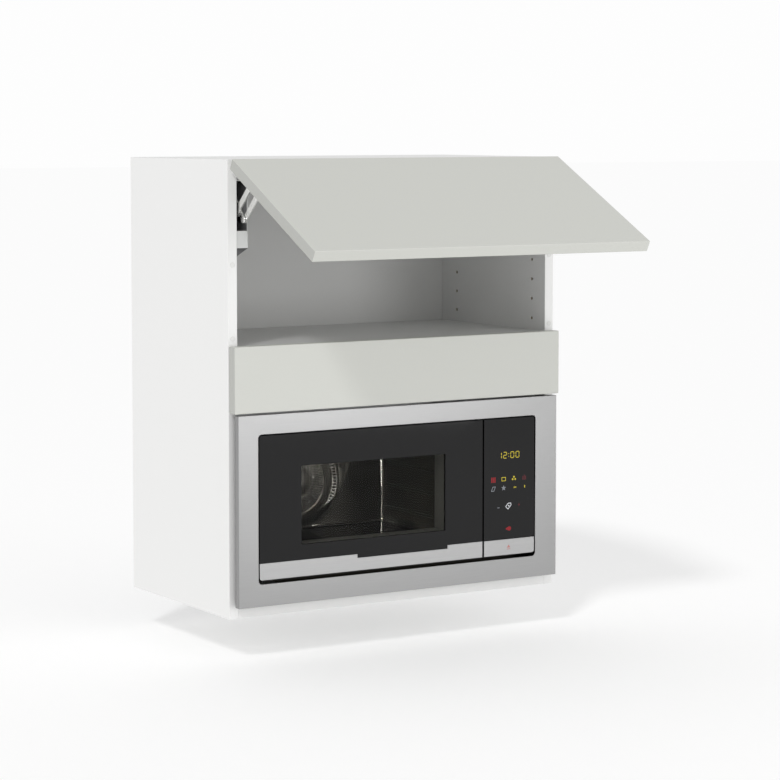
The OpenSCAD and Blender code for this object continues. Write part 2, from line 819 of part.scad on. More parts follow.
// The cover's outline as (x, z), drawn in by a wall everywhere but on the cabinet's side
module lift_outline(wall) {
    low = lift_z + wall;
    high = lift_top - wall;
    polygon([[0, low], [lift_w - wall, low + lift_slope], [lift_w - wall, high], [0, high]]);
}
module lift_cover() {
    difference() {
        plate_y(lift_back, lift_l) lift_outline(0);
        plate_y(lift_back + lift_wall, lift_l - 2 * lift_wall) {
            lift_outline(lift_wall);
            translate([-through, lift_z + lift_wall]) square([through + slack, lift_h - 2 * lift_wall]);
        }
        block([-through, lift_back - through, lift_z + lift_nose],
              [lift_w - lift_wall, lift_back + 2 * lift_wall, lift_top - lift_wall]);
    }
}
module lift_covers() color(grey_plastic) both_sides() lift_cover();

module lift_screws() {
    color(nickel) both_sides() for (at = lift_screw_at) {
        rod_x(screw_play - lift_screw_l, base_t, at, screw_r - screw_play);
        rod_x(base_t, base_t + lift_head, at, 2 * screw_r);
    }
}

module lift_springs() {
    color(steel) both_sides() for (k = [-1, 1]) {
        at = [(lift_w + base_t - lift_wall) / 2, spring_y + k * spring_pitch / 2];
        difference() {
            rod_z(spring_z, spring_z + spring_l, at, spring_d / 2);
            rod_z(spring_z - through, spring_z + spring_l + through, at, spring_d / 2 - spring_wire);
        }
    }
}

module spring_carriage(right) {
    z = spring_z + spring_l + slack;
    color(black) on_side(right)
        block([base_t + lift_head, spring_y - carriage_w / 2, z],
              [lift_w - lift_wall - lift_head, spring_y + carriage_w / 2, z + carriage_h]);
}
module spring_carriage_left() spring_carriage(false);
module spring_carriage_right() spring_carriage(true);

// A lever or link in one layer: bars along a path of points, round lobes, and holes of given radii
module linkage_plate(right, i, path, lobes, holes, radii) {
    color(nickel) on_side(right) difference() {
        plate_x(layer(i), lever_t) {
            for (k = [1:len(path) - 1]) bar(path[k - 1], path[k], lever_r);
            for (at = lobes) translate(at) circle(lever_r);
        }
        for (k = [0:len(holes) - 1])
            rod_x(layer(i) - through, layer(i) + lever_t + through, holes[k], radii[k]);
    }
}
module link_pin(right, from, to, at) {
    color(nickel) on_side(right) rod_x(layer(from), layer(to) + lever_t, at, pivot_r);
}
running_r = pivot_r + pivot_play;
loop_r = pivot_r + loop_play;

module main_lever(right) {
    linkage_plate(right, 1, [lever_root, lever_tip], [lever_mid], [lever_root, lever_mid, lever_tip],
                  [running_r, running_r, running_r]);
}
module guide_lever(right) {
    linkage_plate(right, 3, [guide_root, guide_tip], [], [guide_root, guide_tip], [running_r, loop_r]);
}
module lower_link(right) {
    linkage_plate(right, 2, [ear_low, lever_tip, guide_tip], [], [], []);
    link_pin(right, 1, 2, ear_low);
    link_pin(right, 1, 2, lever_tip);
    link_pin(right, 2, 3, guide_tip);
}
module upper_link(right) {
    linkage_plate(right, 0, [ear_high, lever_mid], [], [], []);
    link_pin(right, 0, 1, ear_high);
    link_pin(right, 0, 1, lever_mid);
}
module main_lever_left() main_lever(false);
module main_lever_right() main_lever(true);
module guide_lever_left() guide_lever(false);
module guide_lever_right() guide_lever(true);
module lower_link_left() lower_link(false);
module lower_link_right() lower_link(true);
module upper_link_left() upper_link(false);
module upper_link_right() upper_link(true);

// ---- Flap ----

foot_z = [flap_axis[1] - bracket_low - lever_r, flap_axis[1] - bracket_high + lever_r + foot_over];
foot_x = layer(1) - foot_side;
foot_mid = [(layer(1) + lever_t + foot_x + foot_w) / 2, (foot_z[0] + foot_z[1]) / 2];
module bracket_screw_rods(y, y2, r) {
    for (k = [-1, 1]) rod_y(y, y2, foot_mid + k * bracket_screw_gap / 2 * [1, 0.5], r);
}

module flap_panel() {
    color(lacquer) opened() difference() {
        block([-front_w / 2, -front_gap - front_t, flap_z], [front_w / 2, -front_gap, flap_top]);
        both_sides() bracket_screw_rods(-front_gap - bracket_screw_l, through - front_gap, screw_r);
    }
}

module flap_bracket() {
    low = flap_axis + low_arm;
    high = flap_axis + high_arm;
    difference() {
        union() {
            block([foot_x, -front_gap, foot_z[0]], [foot_x + foot_w, foot_t - front_gap, foot_z[1]]);
            plate_x(layer(1), lever_t) {
                bar(low, high, lever_r);
                translate([-front_gap, low[1] - lever_r])
                    square([low[0] + front_gap, high[1] - low[1] + 2 * lever_r]);
            }
        }
        for (at = [low, high]) rod_x(layer(1) - through, layer(1) + lever_t + through, at, loop_r);
        bracket_screw_rods(-front_gap - through, foot_t, screw_r + screw_play);
    }
}
module flap_brackets() color(nickel) opened() both_sides() flap_bracket();

module bracket_screws() {
    color(nickel) opened() both_sides() {
        bracket_screw_rods(screw_play - front_gap - bracket_screw_l, foot_t - front_gap,
                           screw_r - screw_play);
        bracket_screw_rods(foot_t - front_gap, foot_t - front_gap + screw_head, 2 * screw_r);
    }
}

// ---- Microwave front ----

module trim_frame() {
    left = -trim_w / 2;
    top = trim_z + trim_h;
    color(steel) {
        plate_y(-trim_front, trim_t) difference() {
            translate([left, trim_z]) square([trim_w, trim_h]);
            panel_shape([glass_x - glass_gap, glass_z - glass_gap],
                        [glass_x2 + glass_gap, glass_z2 + glass_gap],
                        [for (i = [0:3]) glass_r + glass_gap]);
        }
        plate_y(-trim_front, trim_rim) difference() {
            translate([left, trim_z]) square([trim_w, trim_h]);
            translate([left + trim_t, trim_z + trim_t]) square([trim_w - 2 * trim_t, trim_h - 2 * trim_t]);
        }
    }
}

module spacer_frame() {
    outer = [trim_w / 2 - spacer_in, trim_z + spacer_in, trim_z + trim_h - spacer_in];
    room = [spacer_room, spacer_room + 2 * hinge_t];
    low = [glass_x, glass_z] - room;
    high = [glass_x2, glass_z2] + room;
    color(black) plate_y(trim_t - trim_front, trim_front - trim_t) difference() {
        translate([-outer[0], outer[1]]) square([2 * outer[0], outer[2] - outer[1]]);
        translate(low) square(high - low);
    }
}

// The finger notch in the steel bar, grown by a gap
module notch_shape(gap) {
    translate([glass_x + notch_x - gap, bar_z2 - notch_h - gap])
        square([notch_w + 2 * gap, notch_h + gap + through]);
}

module door_glass() {
    color(dark_glass) plate_y(glass_y, glass_t) {
        panel_shape([glass_x, bar_z2 + part_gap], [door_x2, glass_z2], [0, 0, 0, glass_r]);
        translate([glass_x + notch_x + part_gap, bar_z2 - notch_h + part_gap])
            square([notch_w - 2 * part_gap, notch_h + through]);
    }
}

module door_bar() {
    color(steel) plate_y(glass_y, bar_t) difference() {
        panel_shape([glass_x, bar_z], [door_x2, bar_z2], [glass_r, 0, 0, 0]);
        notch_shape(0);
    }
}

module door_frame() {
    low = [glass_x + frame_inset, bar_z - frame_inset];
    high = [door_x2 - frame_inset, glass_z2 - frame_inset];
    front = glass_y + glass_t;
    rear = door_back - inner_glass_t - screen_t;
    wall = [frame_t, frame_t];
    color(black) {
        difference() {
            plate_y(front, rear - front) difference() {
                panel_shape(low, high, [glass_r, 0, 0, glass_r]);
                translate(window_at) square([window_w, window_h]);
            }
            plate_y(front + frame_t, rear - front) difference() {
                panel_shape(low + wall, high - wall, [glass_r, 0, 0, glass_r]);
                translate(window_at - wall) square([window_w + 2 * frame_t, window_h + 2 * frame_t]);
                translate(low) square([hinge_x + hinge_r + frame_t, high[1] - low[1]]);
            }
        }
        rod_z(low[1] - hinge_l, low[1] + glass_r + through, hinge_at, hinge_r);
        rod_z(high[1] - glass_r - through, high[1] + hinge_l, hinge_at, hinge_r);
        plate_y(glass_y + bar_t, glass_t - bar_t) intersection() {
            panel_shape(low, high, [glass_r, 0, 0, glass_r]);
            difference() {
                translate(low) square([high[0] - low[0], bar_z2 - low[1]]);
                notch_shape(0);
            }
        }
    }
}

module door_screen() {
    low = [glass_x + 2 * frame_inset, bar_z];
    high = [door_x2 - 2 * frame_inset, glass_z2 - 2 * frame_inset];
    border = [inner_border, inner_border];
    pane_low = window_at - border;
    pane_high = window_at + [window_w, window_h] + border;
    gap = [part_gap, part_gap];
    y = door_back - inner_glass_t - screen_t;
    color(steel) {
        plate_y(y, screen_t) panel_shape(low, high, [0, 0, 0, 0]);
        plate_y(y + screen_t, inner_glass_t) difference() {
            panel_shape(low, high, [0, 0, 0, 0]);
            translate(pane_low - gap) square(pane_high - pane_low + 2 * gap);
        }
    }
}

module door_inner_glass() {
    border = [inner_border, inner_border];
    color(dark_glass) plate_y(door_back - inner_glass_t, inner_glass_t)
        translate(window_at - border) square([window_w, window_h] + 2 * border);
}

module door_hooks() {
    color(black) for (k = [-1, 1]) {
        z = latch_mid + k * latch_gap / 2 - latch_h / 2;
        tip = door_back + latch_reach;
        block([latch_x, door_back, z], [latch_x + latch_t, tip, z + latch_h]);
        block([latch_x, tip - latch_nose, z - latch_drop], [latch_x + latch_t, tip, z]);
    }
}

module door_hinges() {
    color(nickel) for (z = [glass_z2 + hinge_t, bar_z - 3 * frame_inset - 2 * hinge_t]) difference() {
        block([hinge_at[0] - hinge_edge, hinge_at[1] - hinge_edge, z],
              [hinge_at[0] - hinge_edge + hinge_w, plate_y, z + hinge_t]);
        rod_z(z - through, z + hinge_t + through, hinge_at, hinge_r + pivot_play);
    }
}

button_x = [control_x + part_gap + slack, glass_x2];
plunger = [[control_x + plunger_in, bar_z + plunger_up], [glass_x2 - plunger_in, bar_z2 - plunger_up]];

module open_button() {
    front = glass_y + bar_t;
    color(steel) plate_y(glass_y, bar_t)
        panel_shape([button_x[0], bar_z], [button_x[1], bar_z2 - part_gap], [0, glass_r, 0, 0]);
    color(black) block([plunger[0][0], front, plunger[0][1]],
                       [plunger[1][0], front + plunger_l, plunger[1][1]]);
}

module control_glass() {
    color(dark_glass) plate_y(glass_y, glass_t)
        panel_shape([control_x, bar_z2 + 4 * part_gap], [glass_x2, glass_z2], [0, 0, glass_r, 0]);
}

display_at = [control_x + display_x, glass_z + display_z];
display_size = [display_w, display_h];

module control_housing() {
    low = [control_x + 1, bar_z - frame_inset];
    high = [glass_x2 - frame_inset, glass_z2 - frame_inset];
    front = glass_y + glass_t;
    wall = [frame_t, frame_t];
    play = [0.5, 0.5];
    color(black) plate_y(front, frame_t) difference() {
        panel_shape(low, high, [0, glass_r, glass_r, 0]);
        translate(display_at) square(display_size);
        translate(plunger[0] - play) square(plunger[1] - plunger[0] + 2 * play);
    }
    color(black) plate_y(front + frame_t, plate_y - front - frame_t) difference() {
        panel_shape(low, high, [0, glass_r, glass_r, 0]);
        panel_shape(low + wall, high - wall, [0, glass_r, glass_r, 0]);
    }
}

module display_module() {
    front = glass_y + glass_t + slack;
    play = [slack, slack];
    color([0.95, 0.75, 0.1]) plate_y(front, display_d)
        translate(display_at + play) square(display_size - 2 * play);
}

board_y = glass_y + glass_t + slack + display_d;
module control_board() {
    color([0.1, 0.35, 0.15]) block([control_x + board_in, board_y, bar_z2 + board_in],
                                   [glass_x2 - board_in, board_y + board_t, glass_z2 - board_in]);
}

// ---- Microwave body ----

module casing() {
    left = -case_w / 2;
    inner = case_w / 2 - case_t;
    rear = case_d - case_t;
    top = case_z + case_h;
    color(steel) {
        difference() {
            block([left, 0, case_z], [-left, case_d, top]);
            block([-inner, -through, case_z + case_t], [inner, rear, top - case_t]);
            rod_y(rear - through, case_d + through, fan_at, motor_r + 2);
            rod_y(rear - through, case_d + through, gland_at, gland_r - 2);
            for (i = [0:slot_count - 1]) {
                x = inner - slot_side - i * slot_pitch;
                block([x - slot_w, rear - through, top - slot_top - slot_h],
                      [x, case_d + through, top - slot_top]);
            }
        }
        for (x = [-1, 1], y = [case_foot_in, case_d - case_foot_in])
            rod_z(panel_t, case_z + case_t / 2, [x * (inner - case_foot_in), y], case_foot_r);
    }
}
gland_at = [case_w / 2 - gland_side, case_z + gland_up];

// The cavity's inside, from its lower front left corner to its upper rear right one
cavity_low = [cavity_x, plate_y + plate_t, cavity_floor - floor_t];
cavity_high = [cavity_x + cavity_w, cavity_back, cavity_floor - floor_t + cavity_h];

// Beads along the side walls, where a rack slides in
module shelf_guides() {
    inward = guide_r - cavity_t / 2;
    for (x = [cavity_low[0] + inward, cavity_high[0] - inward], i = [0:guide_count - 1])
        rod_y(cavity_low[1] + guide_in, cavity_high[1] - guide_in,
              [x, cavity_floor + guide_first + i * guide_pitch], guide_r);
}

// The wrapper round the cavity, and the rear wall with the fan chamber, which is welded on behind it
module cavity() {
    wall = [cavity_t, 0, cavity_t];
    rear = cavity_back + seam;
    color(nickel) {
        difference() {
            union() {
                block(cavity_low - wall, cavity_high + wall);
                shelf_guides();
            }
            difference() {
                block(cavity_low - [0, through, 0], cavity_high + [0, through, 0]);
                shelf_guides();
            }
        }
        difference() {
            union() {
                block([cavity_low[0] - cavity_t, rear, cavity_low[2] - cavity_t],
                      cavity_high + [cavity_t, cavity_t, cavity_t]);
                rod_y(rear, cavity_back + chamber_d + cavity_t, fan_at, chamber_r + cavity_t);
            }
            rod_y(cavity_back - through, cavity_back + chamber_d, fan_at, chamber_r);
            rod_y(cavity_back, cavity_back + chamber_d + cavity_t + through, fan_at, shaft_r + 1);
        }
    }
}

// The front plate round the cavity's mouth, with slots for the latch hooks and the controls' opening
module cavity_front() {
    edge = case_t + part_gap;
    plate = [case_w / 2 - edge, case_z + edge, case_z + case_h - edge];
    mouth = [[cavity_low[0], cavity_low[2]], [cavity_high[0], cavity_high[2]]];
    hatch = [[control_x + hatch_in, bar_z], [glass_x2 - hatch_in, glass_z2 - 4 * hatch_in]];
    color(nickel) plate_y(plate_y, plate_t - seam) difference() {
        translate([-plate[0], plate[1]]) square([2 * plate[0], plate[2] - plate[1]]);
        translate(mouth[0]) square(mouth[1] - mouth[0]);
        for (k = [-1, 1]) translate([latch_slot_x, latch_mid + k * latch_gap / 2 + latch_slot[0]])
            square([latch_slot_w, latch_slot[1] - latch_slot[0]]);
        translate(hatch[0]) square(hatch[1] - hatch[0]);
    }
}

module ceramic_floor() {
    gap = 0.5;
    color(black) block([cavity_x + gap, plate_y + plate_t, cavity_floor - floor_t],
                       [cavity_x + cavity_w - gap, cavity_back - 2.5, cavity_floor]);
}

module fan_cover() {
    y = cavity_back - cover_t;
    color(nickel) difference() {
        rod_y(y, y + cover_t, fan_at, chamber_r + cover_over);
        for (i = [1:3]) {
            r = (i + 1 / 3) * cover_ring;
            count = 2 + 6 * i;
            for (k = [0:count - 1]) rod_y(y - through, y + cover_t + through,
                fan_at + r * [cos(360 / count * k), sin(360 / count * k)], cover_hole_r);
        }
    }
}

module convection_fan() {
    hub_r = 3 * shaft_r;
    front = cavity_back + fan_clear;
    rear = cavity_back + chamber_d - fan_clear;
    color(steel) {
        rod_y(front, motor_y + motor_bore - 1, fan_at, shaft_r);
        rod_y(front, rear, fan_at, hub_r);
        for (k = [0:fan_blades - 1]) translate([fan_at[0], 0, fan_at[1]]) rotate([0, 360 / fan_blades * k, 0])
            block([hub_r - 1, front + 1, -blade_t / 2], [fan_r, rear - 1, blade_t / 2]);
    }
}

motor_y = case_d - motor_in;
module convection_motor() {
    color(steel) difference() {
        rod_y(motor_y, motor_y + motor_l, fan_at, motor_r);
        rod_y(motor_y - through, motor_y + motor_bore, fan_at, shaft_r + pivot_play);
    }
}

module ring_heater() {
    y = cavity_back + chamber_d / 2;
    lead = fan_at + [0, heater_r];
    color("dimgray") {
        translate([fan_at[0], y, fan_at[1]]) rotate([90, 0, 0]) rotate_extrude()
            translate([heater_r, 0]) circle(heater_tube);
        rod_y(y, cavity_back + chamber_d, lead, heater_tube);
    }
}

module cavity_lamp() {
    y = plate_y + lamp_front;
    z = cavity_floor + lamp_up;
    color(white_plastic) block([bay_x + slack, y, z], [bay_x + lamp_d, y + lamp_w, z + lamp_w]);
}

// The parts of the right-hand bay stand on the casing's floor or hang on the cavity's wall
bay_floor = case_z + case_t;
core_y = plate_y + core_front;
module transformer() {
    x = bay_x + bay_w - core_side - core_w;
    coil = [[x + coil_in, bay_floor + coil_in], [x + core_w - coil_in, bay_floor + core_h - coil_in]];
    color("dimgray") {
        block([x, core_y, bay_floor], [x + core_w, core_y + core_d, bay_floor + core_h]);
        plate_y(core_y - coil_out, core_d + 2 * coil_out) translate(coil[0]) square(coil[1] - coil[0]);
    }
}

// The magnetron lies on its waveguide, with its fins square to the cavity's wall
module magnetron() {
    x = bay_x + slack;
    y = plate_y + wave_front;
    z = cavity_floor + wave_up;
    fin_z = z + (wave_h - fin_h) / 2;
    last = x + wave_d + fin_count * fin_pitch + fin_t;
    color(steel) {
        block([x, y, z], [x + wave_d, y + wave_l, z + wave_h]);
        for (i = [0:fin_count - 1]) translate([x + wave_d + i * fin_pitch, 0, 0])
            block([0, y + 2 * fin_t, fin_z], [fin_t, y + wave_l - 2 * fin_t, fin_z + fin_h]);
        block([last - 2 * fin_t, y, fin_z - fin_t], [last - fin_t, y + wave_l, fin_z + fin_h + fin_t]);
        rod_x(x + wave_d - 1, last - fin_t, [y + wave_l / 2, z + wave_h / 2], tube_r);
    }
}

module capacitor() {
    y = core_y + core_d + coil_out + capacitor_gap + capacitor_r;
    x = bay_x + bay_w - core_side - capacitor_r;
    color(steel) translate([0, 0, bay_floor])
        linear_extrude(capacitor_h) bar([x - capacitor_w + 2 * capacitor_r, y], [x, y], capacitor_r);
}

cooler_at = [
    case_w / 2 - case_t - cooler_side - cooler_w / 2,
    case_z + case_h - case_t - cooler_top - cooler_w / 2
];
cooler_y = case_d - case_t - cooler_d - 1;
cooler_r = cooler_w / 2 - frame_t;
module cooling_fan_housing() {
    rib_t = 1.5 * frame_t;
    rear = cooler_y + cooler_d;
    color(black) {
        difference() {
            plate_y(cooler_y, cooler_d) translate(cooler_at) square(cooler_w, center = true);
            rod_y(cooler_y - through, rear + through, cooler_at, cooler_r);
        }
        plate_y(rear - rib_t, rib_t) for (turn = [0, 90]) translate(cooler_at) rotate(turn)
            square([2 * cooler_r + frame_t, 2 * rib_t], center = true);
        rod_y(cooler_y + 2 * rib_t, rear, cooler_at, shaft_r - pivot_play);
    }
}

module cooling_fan() {
    y = cooler_y + 1.5 * frame_t;
    depth = cooler_d - 4 * frame_t;
    color(grey_plastic) difference() {
        union() {
            rod_y(y, y + depth, cooler_at, cooler_hub_r);
            for (k = [0:cooler_blades - 1])
                translate([cooler_at[0], y + depth / 2, cooler_at[1]]) rotate([0, 360 / cooler_blades * k, 0])
                    rotate([35, 0, 0]) block([cooler_hub_r - 1, -depth / 2, -blade_t / 2],
                                             [cooler_r - frame_t, depth / 2, blade_t / 2]);
        }
        rod_y(y - through, y + depth + through, cooler_at, shaft_r);
    }
}

module door_latch() {
    x = bay_x + slack;
    y = plate_y + plate_t;
    reach = latch_reach + 4 * latch_room;
    half = latch_gap / 2 - latch_slot[0] + 8;
    color(white_plastic) difference() {
        block([x, y, latch_mid - half],
              [latch_slot_x + latch_slot_w + latch_wall, y + reach, latch_mid + half]);
        for (k = [-1, 1]) {
            z = latch_mid + k * latch_gap / 2;
            block([x - through, y - through, z + latch_slot[0]],
                  [latch_slot_x + latch_slot_w, y + reach - latch_room, z + latch_slot[1]]);
        }
    }
}

module cord_gland() {
    collars = [case_d - case_t - gland_t, case_d];
    color(black) {
        rod_y(collars[0], collars[1] + gland_t, gland_at, gland_r - 2 - slack);
        for (y = collars) rod_y(y, y + gland_t, gland_at, gland_r);
    }
}

// Moves the finished piece so that the origin is the middle of the rail's screw line
module placed() {
    translate([0, -body_d, -rail_z]) children();
}

placed() side_left();
placed() side_right();
placed() top_panel();
placed() bottom_panel();
placed() fixed_shelf();
placed() back_panel();
placed() carcass_dowels();
placed() fascia_strip();
placed() fascia_angles();
placed() front_bumpers();
placed() wall_rail();
placed() hanger_bodies();
placed() hanger_hooks();
placed() lift_bases();
placed() lift_covers();
placed() lift_screws();
placed() lift_springs();
placed() main_lever_left();
placed() main_lever_right();
placed() guide_lever_left();
placed() guide_lever_right();
placed() lower_link_left();
placed() lower_link_right();
placed() upper_link_left();
placed() upper_link_right();
placed() spring_carriage_left();
placed() spring_carriage_right();
placed() flap_panel();
placed() flap_brackets();
placed() bracket_screws();
placed() casing();
placed() cavity();
placed() cavity_front();
placed() trim_frame();
placed() spacer_frame();
placed() ceramic_floor();
placed() fan_cover();
placed() convection_fan();
placed() convection_motor();
placed() ring_heater();
placed() cavity_lamp();
placed() magnetron();
placed() transformer();
placed() capacitor();
placed() cooling_fan();
placed() cooling_fan_housing();
placed() control_glass();
placed() control_housing();
placed() control_board();
placed() display_module();
placed() door_latch();
placed() open_button();
placed() door_hinges();
placed() cord_gland();
placed() door_glass();
placed() door_bar();
placed() door_frame();
placed() door_screen();
placed() door_inner_glass();
placed() door_hooks();
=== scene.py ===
import json
import math

import bmesh
import bpy
from mathutils import Matrix, Vector


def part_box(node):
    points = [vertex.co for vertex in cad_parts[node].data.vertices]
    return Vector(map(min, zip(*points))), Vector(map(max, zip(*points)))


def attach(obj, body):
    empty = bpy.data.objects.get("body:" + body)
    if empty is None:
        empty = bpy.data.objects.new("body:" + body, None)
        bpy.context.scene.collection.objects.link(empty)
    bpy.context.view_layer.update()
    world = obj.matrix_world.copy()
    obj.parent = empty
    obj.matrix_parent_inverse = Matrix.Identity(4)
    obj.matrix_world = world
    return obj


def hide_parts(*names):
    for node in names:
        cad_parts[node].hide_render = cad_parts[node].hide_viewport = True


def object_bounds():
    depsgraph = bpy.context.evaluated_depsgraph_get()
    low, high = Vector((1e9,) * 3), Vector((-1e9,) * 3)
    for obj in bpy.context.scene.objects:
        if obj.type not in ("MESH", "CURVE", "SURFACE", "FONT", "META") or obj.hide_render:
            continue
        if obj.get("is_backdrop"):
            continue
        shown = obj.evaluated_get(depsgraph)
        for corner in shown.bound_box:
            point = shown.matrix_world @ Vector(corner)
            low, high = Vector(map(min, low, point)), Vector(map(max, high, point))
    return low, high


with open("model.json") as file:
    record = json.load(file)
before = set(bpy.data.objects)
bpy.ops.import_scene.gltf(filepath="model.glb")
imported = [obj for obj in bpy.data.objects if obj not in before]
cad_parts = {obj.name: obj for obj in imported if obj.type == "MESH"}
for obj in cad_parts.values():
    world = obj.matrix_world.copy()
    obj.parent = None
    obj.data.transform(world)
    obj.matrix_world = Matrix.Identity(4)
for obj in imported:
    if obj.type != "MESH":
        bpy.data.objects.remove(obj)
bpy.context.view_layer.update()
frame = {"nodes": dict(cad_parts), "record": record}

mm = 0.001
origin = {"depth": 330, "railHeight": 645}  # the wall rail's screw line, in the cabinet's own millimetres
bodies = frame["record"]["behaviour"]["bodies"]
bodyOf = {node: body for body, nodes in bodies.items() for node in nodes}
slotOf = {part["node"]: part["material_slot"] for part in frame["record"]["subparts"]}


def place(x, y, z):  # millimetres from the middle of the carcass's lower front edge, as a point of the frame
    return Vector((x, y - origin["depth"], z - origin["railHeight"])) * mm


def colour(code):  # an sRGB hex code as linear colour
    parts = [int(code[i:i + 2], 16) / 255 for i in (1, 3, 5)]
    return [p / 12.92 if p <= 0.04045 else ((p + 0.055) / 1.055) ** 2.4 for p in parts] + [1.0]


def addNode(material, kind, settings=None, links=None):
    node = material.node_tree.nodes.new("ShaderNode" + kind)
    for key, value in (settings or {}).items():
        if isinstance(key, int) or key in node.inputs:
            node.inputs[key].default_value = value
        else:
            setattr(node, key, value)
    for key, source in (links or {}).items():
        material.node_tree.links.new(source, node.inputs[key])
    return node


def newMaterial(name, settings):
    material = bpy.data.materials.new(name)
    material.use_nodes = True
    shader = material.node_tree.nodes["Principled BSDF"]
    for key, value in settings.items():
        shader.inputs[key].default_value = value
    return material, shader


def finish(name, colours, roughness, grain, depth, stretch=(1, 1, 1), **settings):
    # colour, gloss and relief all follow one grain, whose size and depth are in millimetres; brushing, spark erosion
    # and other grains under half a millimetre are drawn about that coarse, so that they show from close up
    material, shader = newMaterial(name, {"Base Color": colour(colours[0]), **settings})
    coords = addNode(material, "TexCoord").outputs["Object"]
    mapping = addNode(material, "Mapping", {"Scale": [s / (grain * mm) for s in stretch]}, {"Vector": coords})
    noise = addNode(material, "TexNoise", {"Scale": 1.0, "Detail": 3.0, "Roughness": 0.55},
                    {"Vector": mapping.outputs[0]}).outputs["Fac"]
    tint = addNode(material, "Mix", {"data_type": "RGBA", 6: colour(colours[0]), 7: colour(colours[1])}, {0: noise})
    gloss = addNode(material, "MapRange", {"From Min": 0.3, "From Max": 0.7, "To Min": roughness[0],
                                           "To Max": roughness[1]}, {"Value": noise})
    relief = addNode(material, "Bump", {"Strength": 1.0, "Distance": depth * mm}, {"Height": noise})
    links = material.node_tree.links
    links.new(tint.outputs[2], shader.inputs["Base Color"])
    links.new(gloss.outputs[0], shader.inputs["Roughness"])
    links.new(relief.outputs[0], shader.inputs["Normal"])
    return material


metal = {"Metallic": 1.0}
# melamine faced chipboard, pressed on a fine-textured plate: a matt, faintly pebbled white
melamineWhite = finish("melamineWhite", ("#eeeeed", "#f2f2f1"), (0.42, 0.56), 0.6, 0.012)
# the same board's inner sides, drawn a shade greyer: painted shade, so that the open compartment reads darker
melamineInsideShade = finish("melamineInsideShade", ("#d6d6d5", "#dadad9"), (0.42, 0.56), 0.6, 0.012)
# drilled chipboard: rough, straw-brown chips that show only inside the bores
rawChipboard = finish("rawChipboard", ("#8d8172", "#b3a894"), (0.7, 0.9), 1.5, 0.15)
# sprayed satin lacquer on fibreboard: an even pebble grey with hardly any orange peel
lacquerPebble = finish("lacquerPebble", ("#cbccc6", "#cdcec8"), (0.36, 0.44), 2.5, 0.006)
# the same lacquer on the fronts' upright end edges, drawn a little darker and more matt, as they look: painted shade
# on the ends that face aside
endEdgeShade = finish("endEdgeShade", ("#b5b6b1", "#b9bab5"), (0.42, 0.50), 1.2, 0.010)
# stainless steel brushed along its length: soft streaks that spread the highlights upwards; real ones are about
# 0.1 mm apart and wouldn't show, so they are drawn at 0.7
brushedStainless = finish("brushedStainless", ("#9f9f9f", "#afafaf"), (0.30, 0.42), 0.7, 0.004, (0.008, 1, 1),
                          **metal)
# the same steel on the oven's trim frame, drawn a shade darker than the door's bar, as it looks: painted shade
trimStainless = finish("trimStainless", ("#949494", "#a3a3a3"), (0.30, 0.42), 0.7, 0.004, (0.008, 1, 1), **metal)
# bright nickel plate on stamped levers: near-white metal with clear reflections
nickelPlate = finish("nickelPlate", ("#e6e6e4", "#efefed"), (0.18, 0.28), 1.5, 0.004, **metal)
# zinc plate on pressed steel fittings: a cool, slightly cloudy grey
zincPlate = finish("zincPlate", ("#b4b8bc", "#c3c6c8"), (0.30, 0.42), 2.0, 0.005, **metal)
# blackened zinc on the lift's base plates: nearly black, with a dull sheen
darkZinc = finish("darkZinc", ("#26262a", "#333338"), (0.30, 0.42), 1.5, 0.004, **metal)
# drawn and oil-tempered spring wire: dark steel with a soft sheen
springSteel = finish("springSteel", ("#6f6f72", "#85858a"), (0.25, 0.38), 1.0, 0.003, **metal)
# the cavity's stainless sheet, finely brushed: drawn dark and brownish, as the unlit box looks in the photo
cavitySteel = finish("cavitySteel", ("#504e48", "#53514a"), (0.30, 0.32), 0.8, 0.0002, (1, 0.02, 1), **metal)
# the same sheet on the pressed boss, drawn dark for the unlit box yet a shade lighter than the walls: painted shade
# with painted light on the band
bossSteel = finish("bossSteel", ("#5d5b54", "#66645c"), (0.30, 0.38), 0.8, 0.003, **metal)
# the same sheet on the rear corners, drawn bright and smooth: a painted highlight, for the thin bright line that a
# corner shows
cornerSteel = finish("cornerSteel", ("#c6c3ba", "#cecbc2"), (0.08, 0.10), 0.8, 0.001, **metal)
# the fan cover's plain bands, pressed and a little dull, drawn dark: painted shade of the unlit box
pressedSteel = finish("pressedSteel", ("#5c5a53", "#66645c"), (0.28, 0.36), 0.8, 0.003, **metal)
# its domed middle and its perforated bands, and the lowest shelf beads, drawn lighter, as they catch the light
domeSteel = finish("domeSteel", ("#9b9890", "#a5a299"), (0.34, 0.40), 0.8, 0.001, **metal)
# the same sheet on the upper shelf beads, drawn nearly black: painted shade, so that they read as dark lines
shadowSteel = finish("shadowSteel", ("#1b1a18", "#201f1d"), (0.45, 0.50), 0.8, 0.001, **metal)
# heater tube with baked oxide: dark, dry grey-brown
heaterTube = finish("heaterTube", ("#3c3a38", "#565250"), (0.45, 0.60), 1.2, 0.02, **metal)
# moulded ABS with a fine spark-eroded texture: light grey covers
greyPlastic = finish("greyPlastic", ("#d0d1d0", "#d6d7d6"), (0.45, 0.55), 0.5, 0.012)
# the covers' inner side, drawn dull grey: painted shade, as seen through the slot
coverInsideShade = finish("coverInsideShade", ("#8a8a8c", "#949496"), (0.5, 0.6), 0.5, 0.012)
# the covers' lower step, drawn darker: painted shade on the front and the downward slope
coverUndersideShade = finish("coverUndersideShade", ("#5c5c5d", "#666667"), (0.45, 0.55), 0.5, 0.012)
# moulded polyamide hangers and lamp holder: off-white with a soft gloss
whitePlastic = finish("whitePlastic", ("#e9e9e6", "#efefec"), (0.35, 0.45), 0.5, 0.008)
# moulded black polypropylene: matt, with a fine grain
blackPlastic = finish("blackPlastic", ("#0d0d0e", "#161617"), (0.42, 0.58), 0.5, 0.015)
# moulded rubber: dull black
blackRubber = finish("blackRubber", ("#121212", "#1c1c1c"), (0.65, 0.80), 0.4, 0.02)
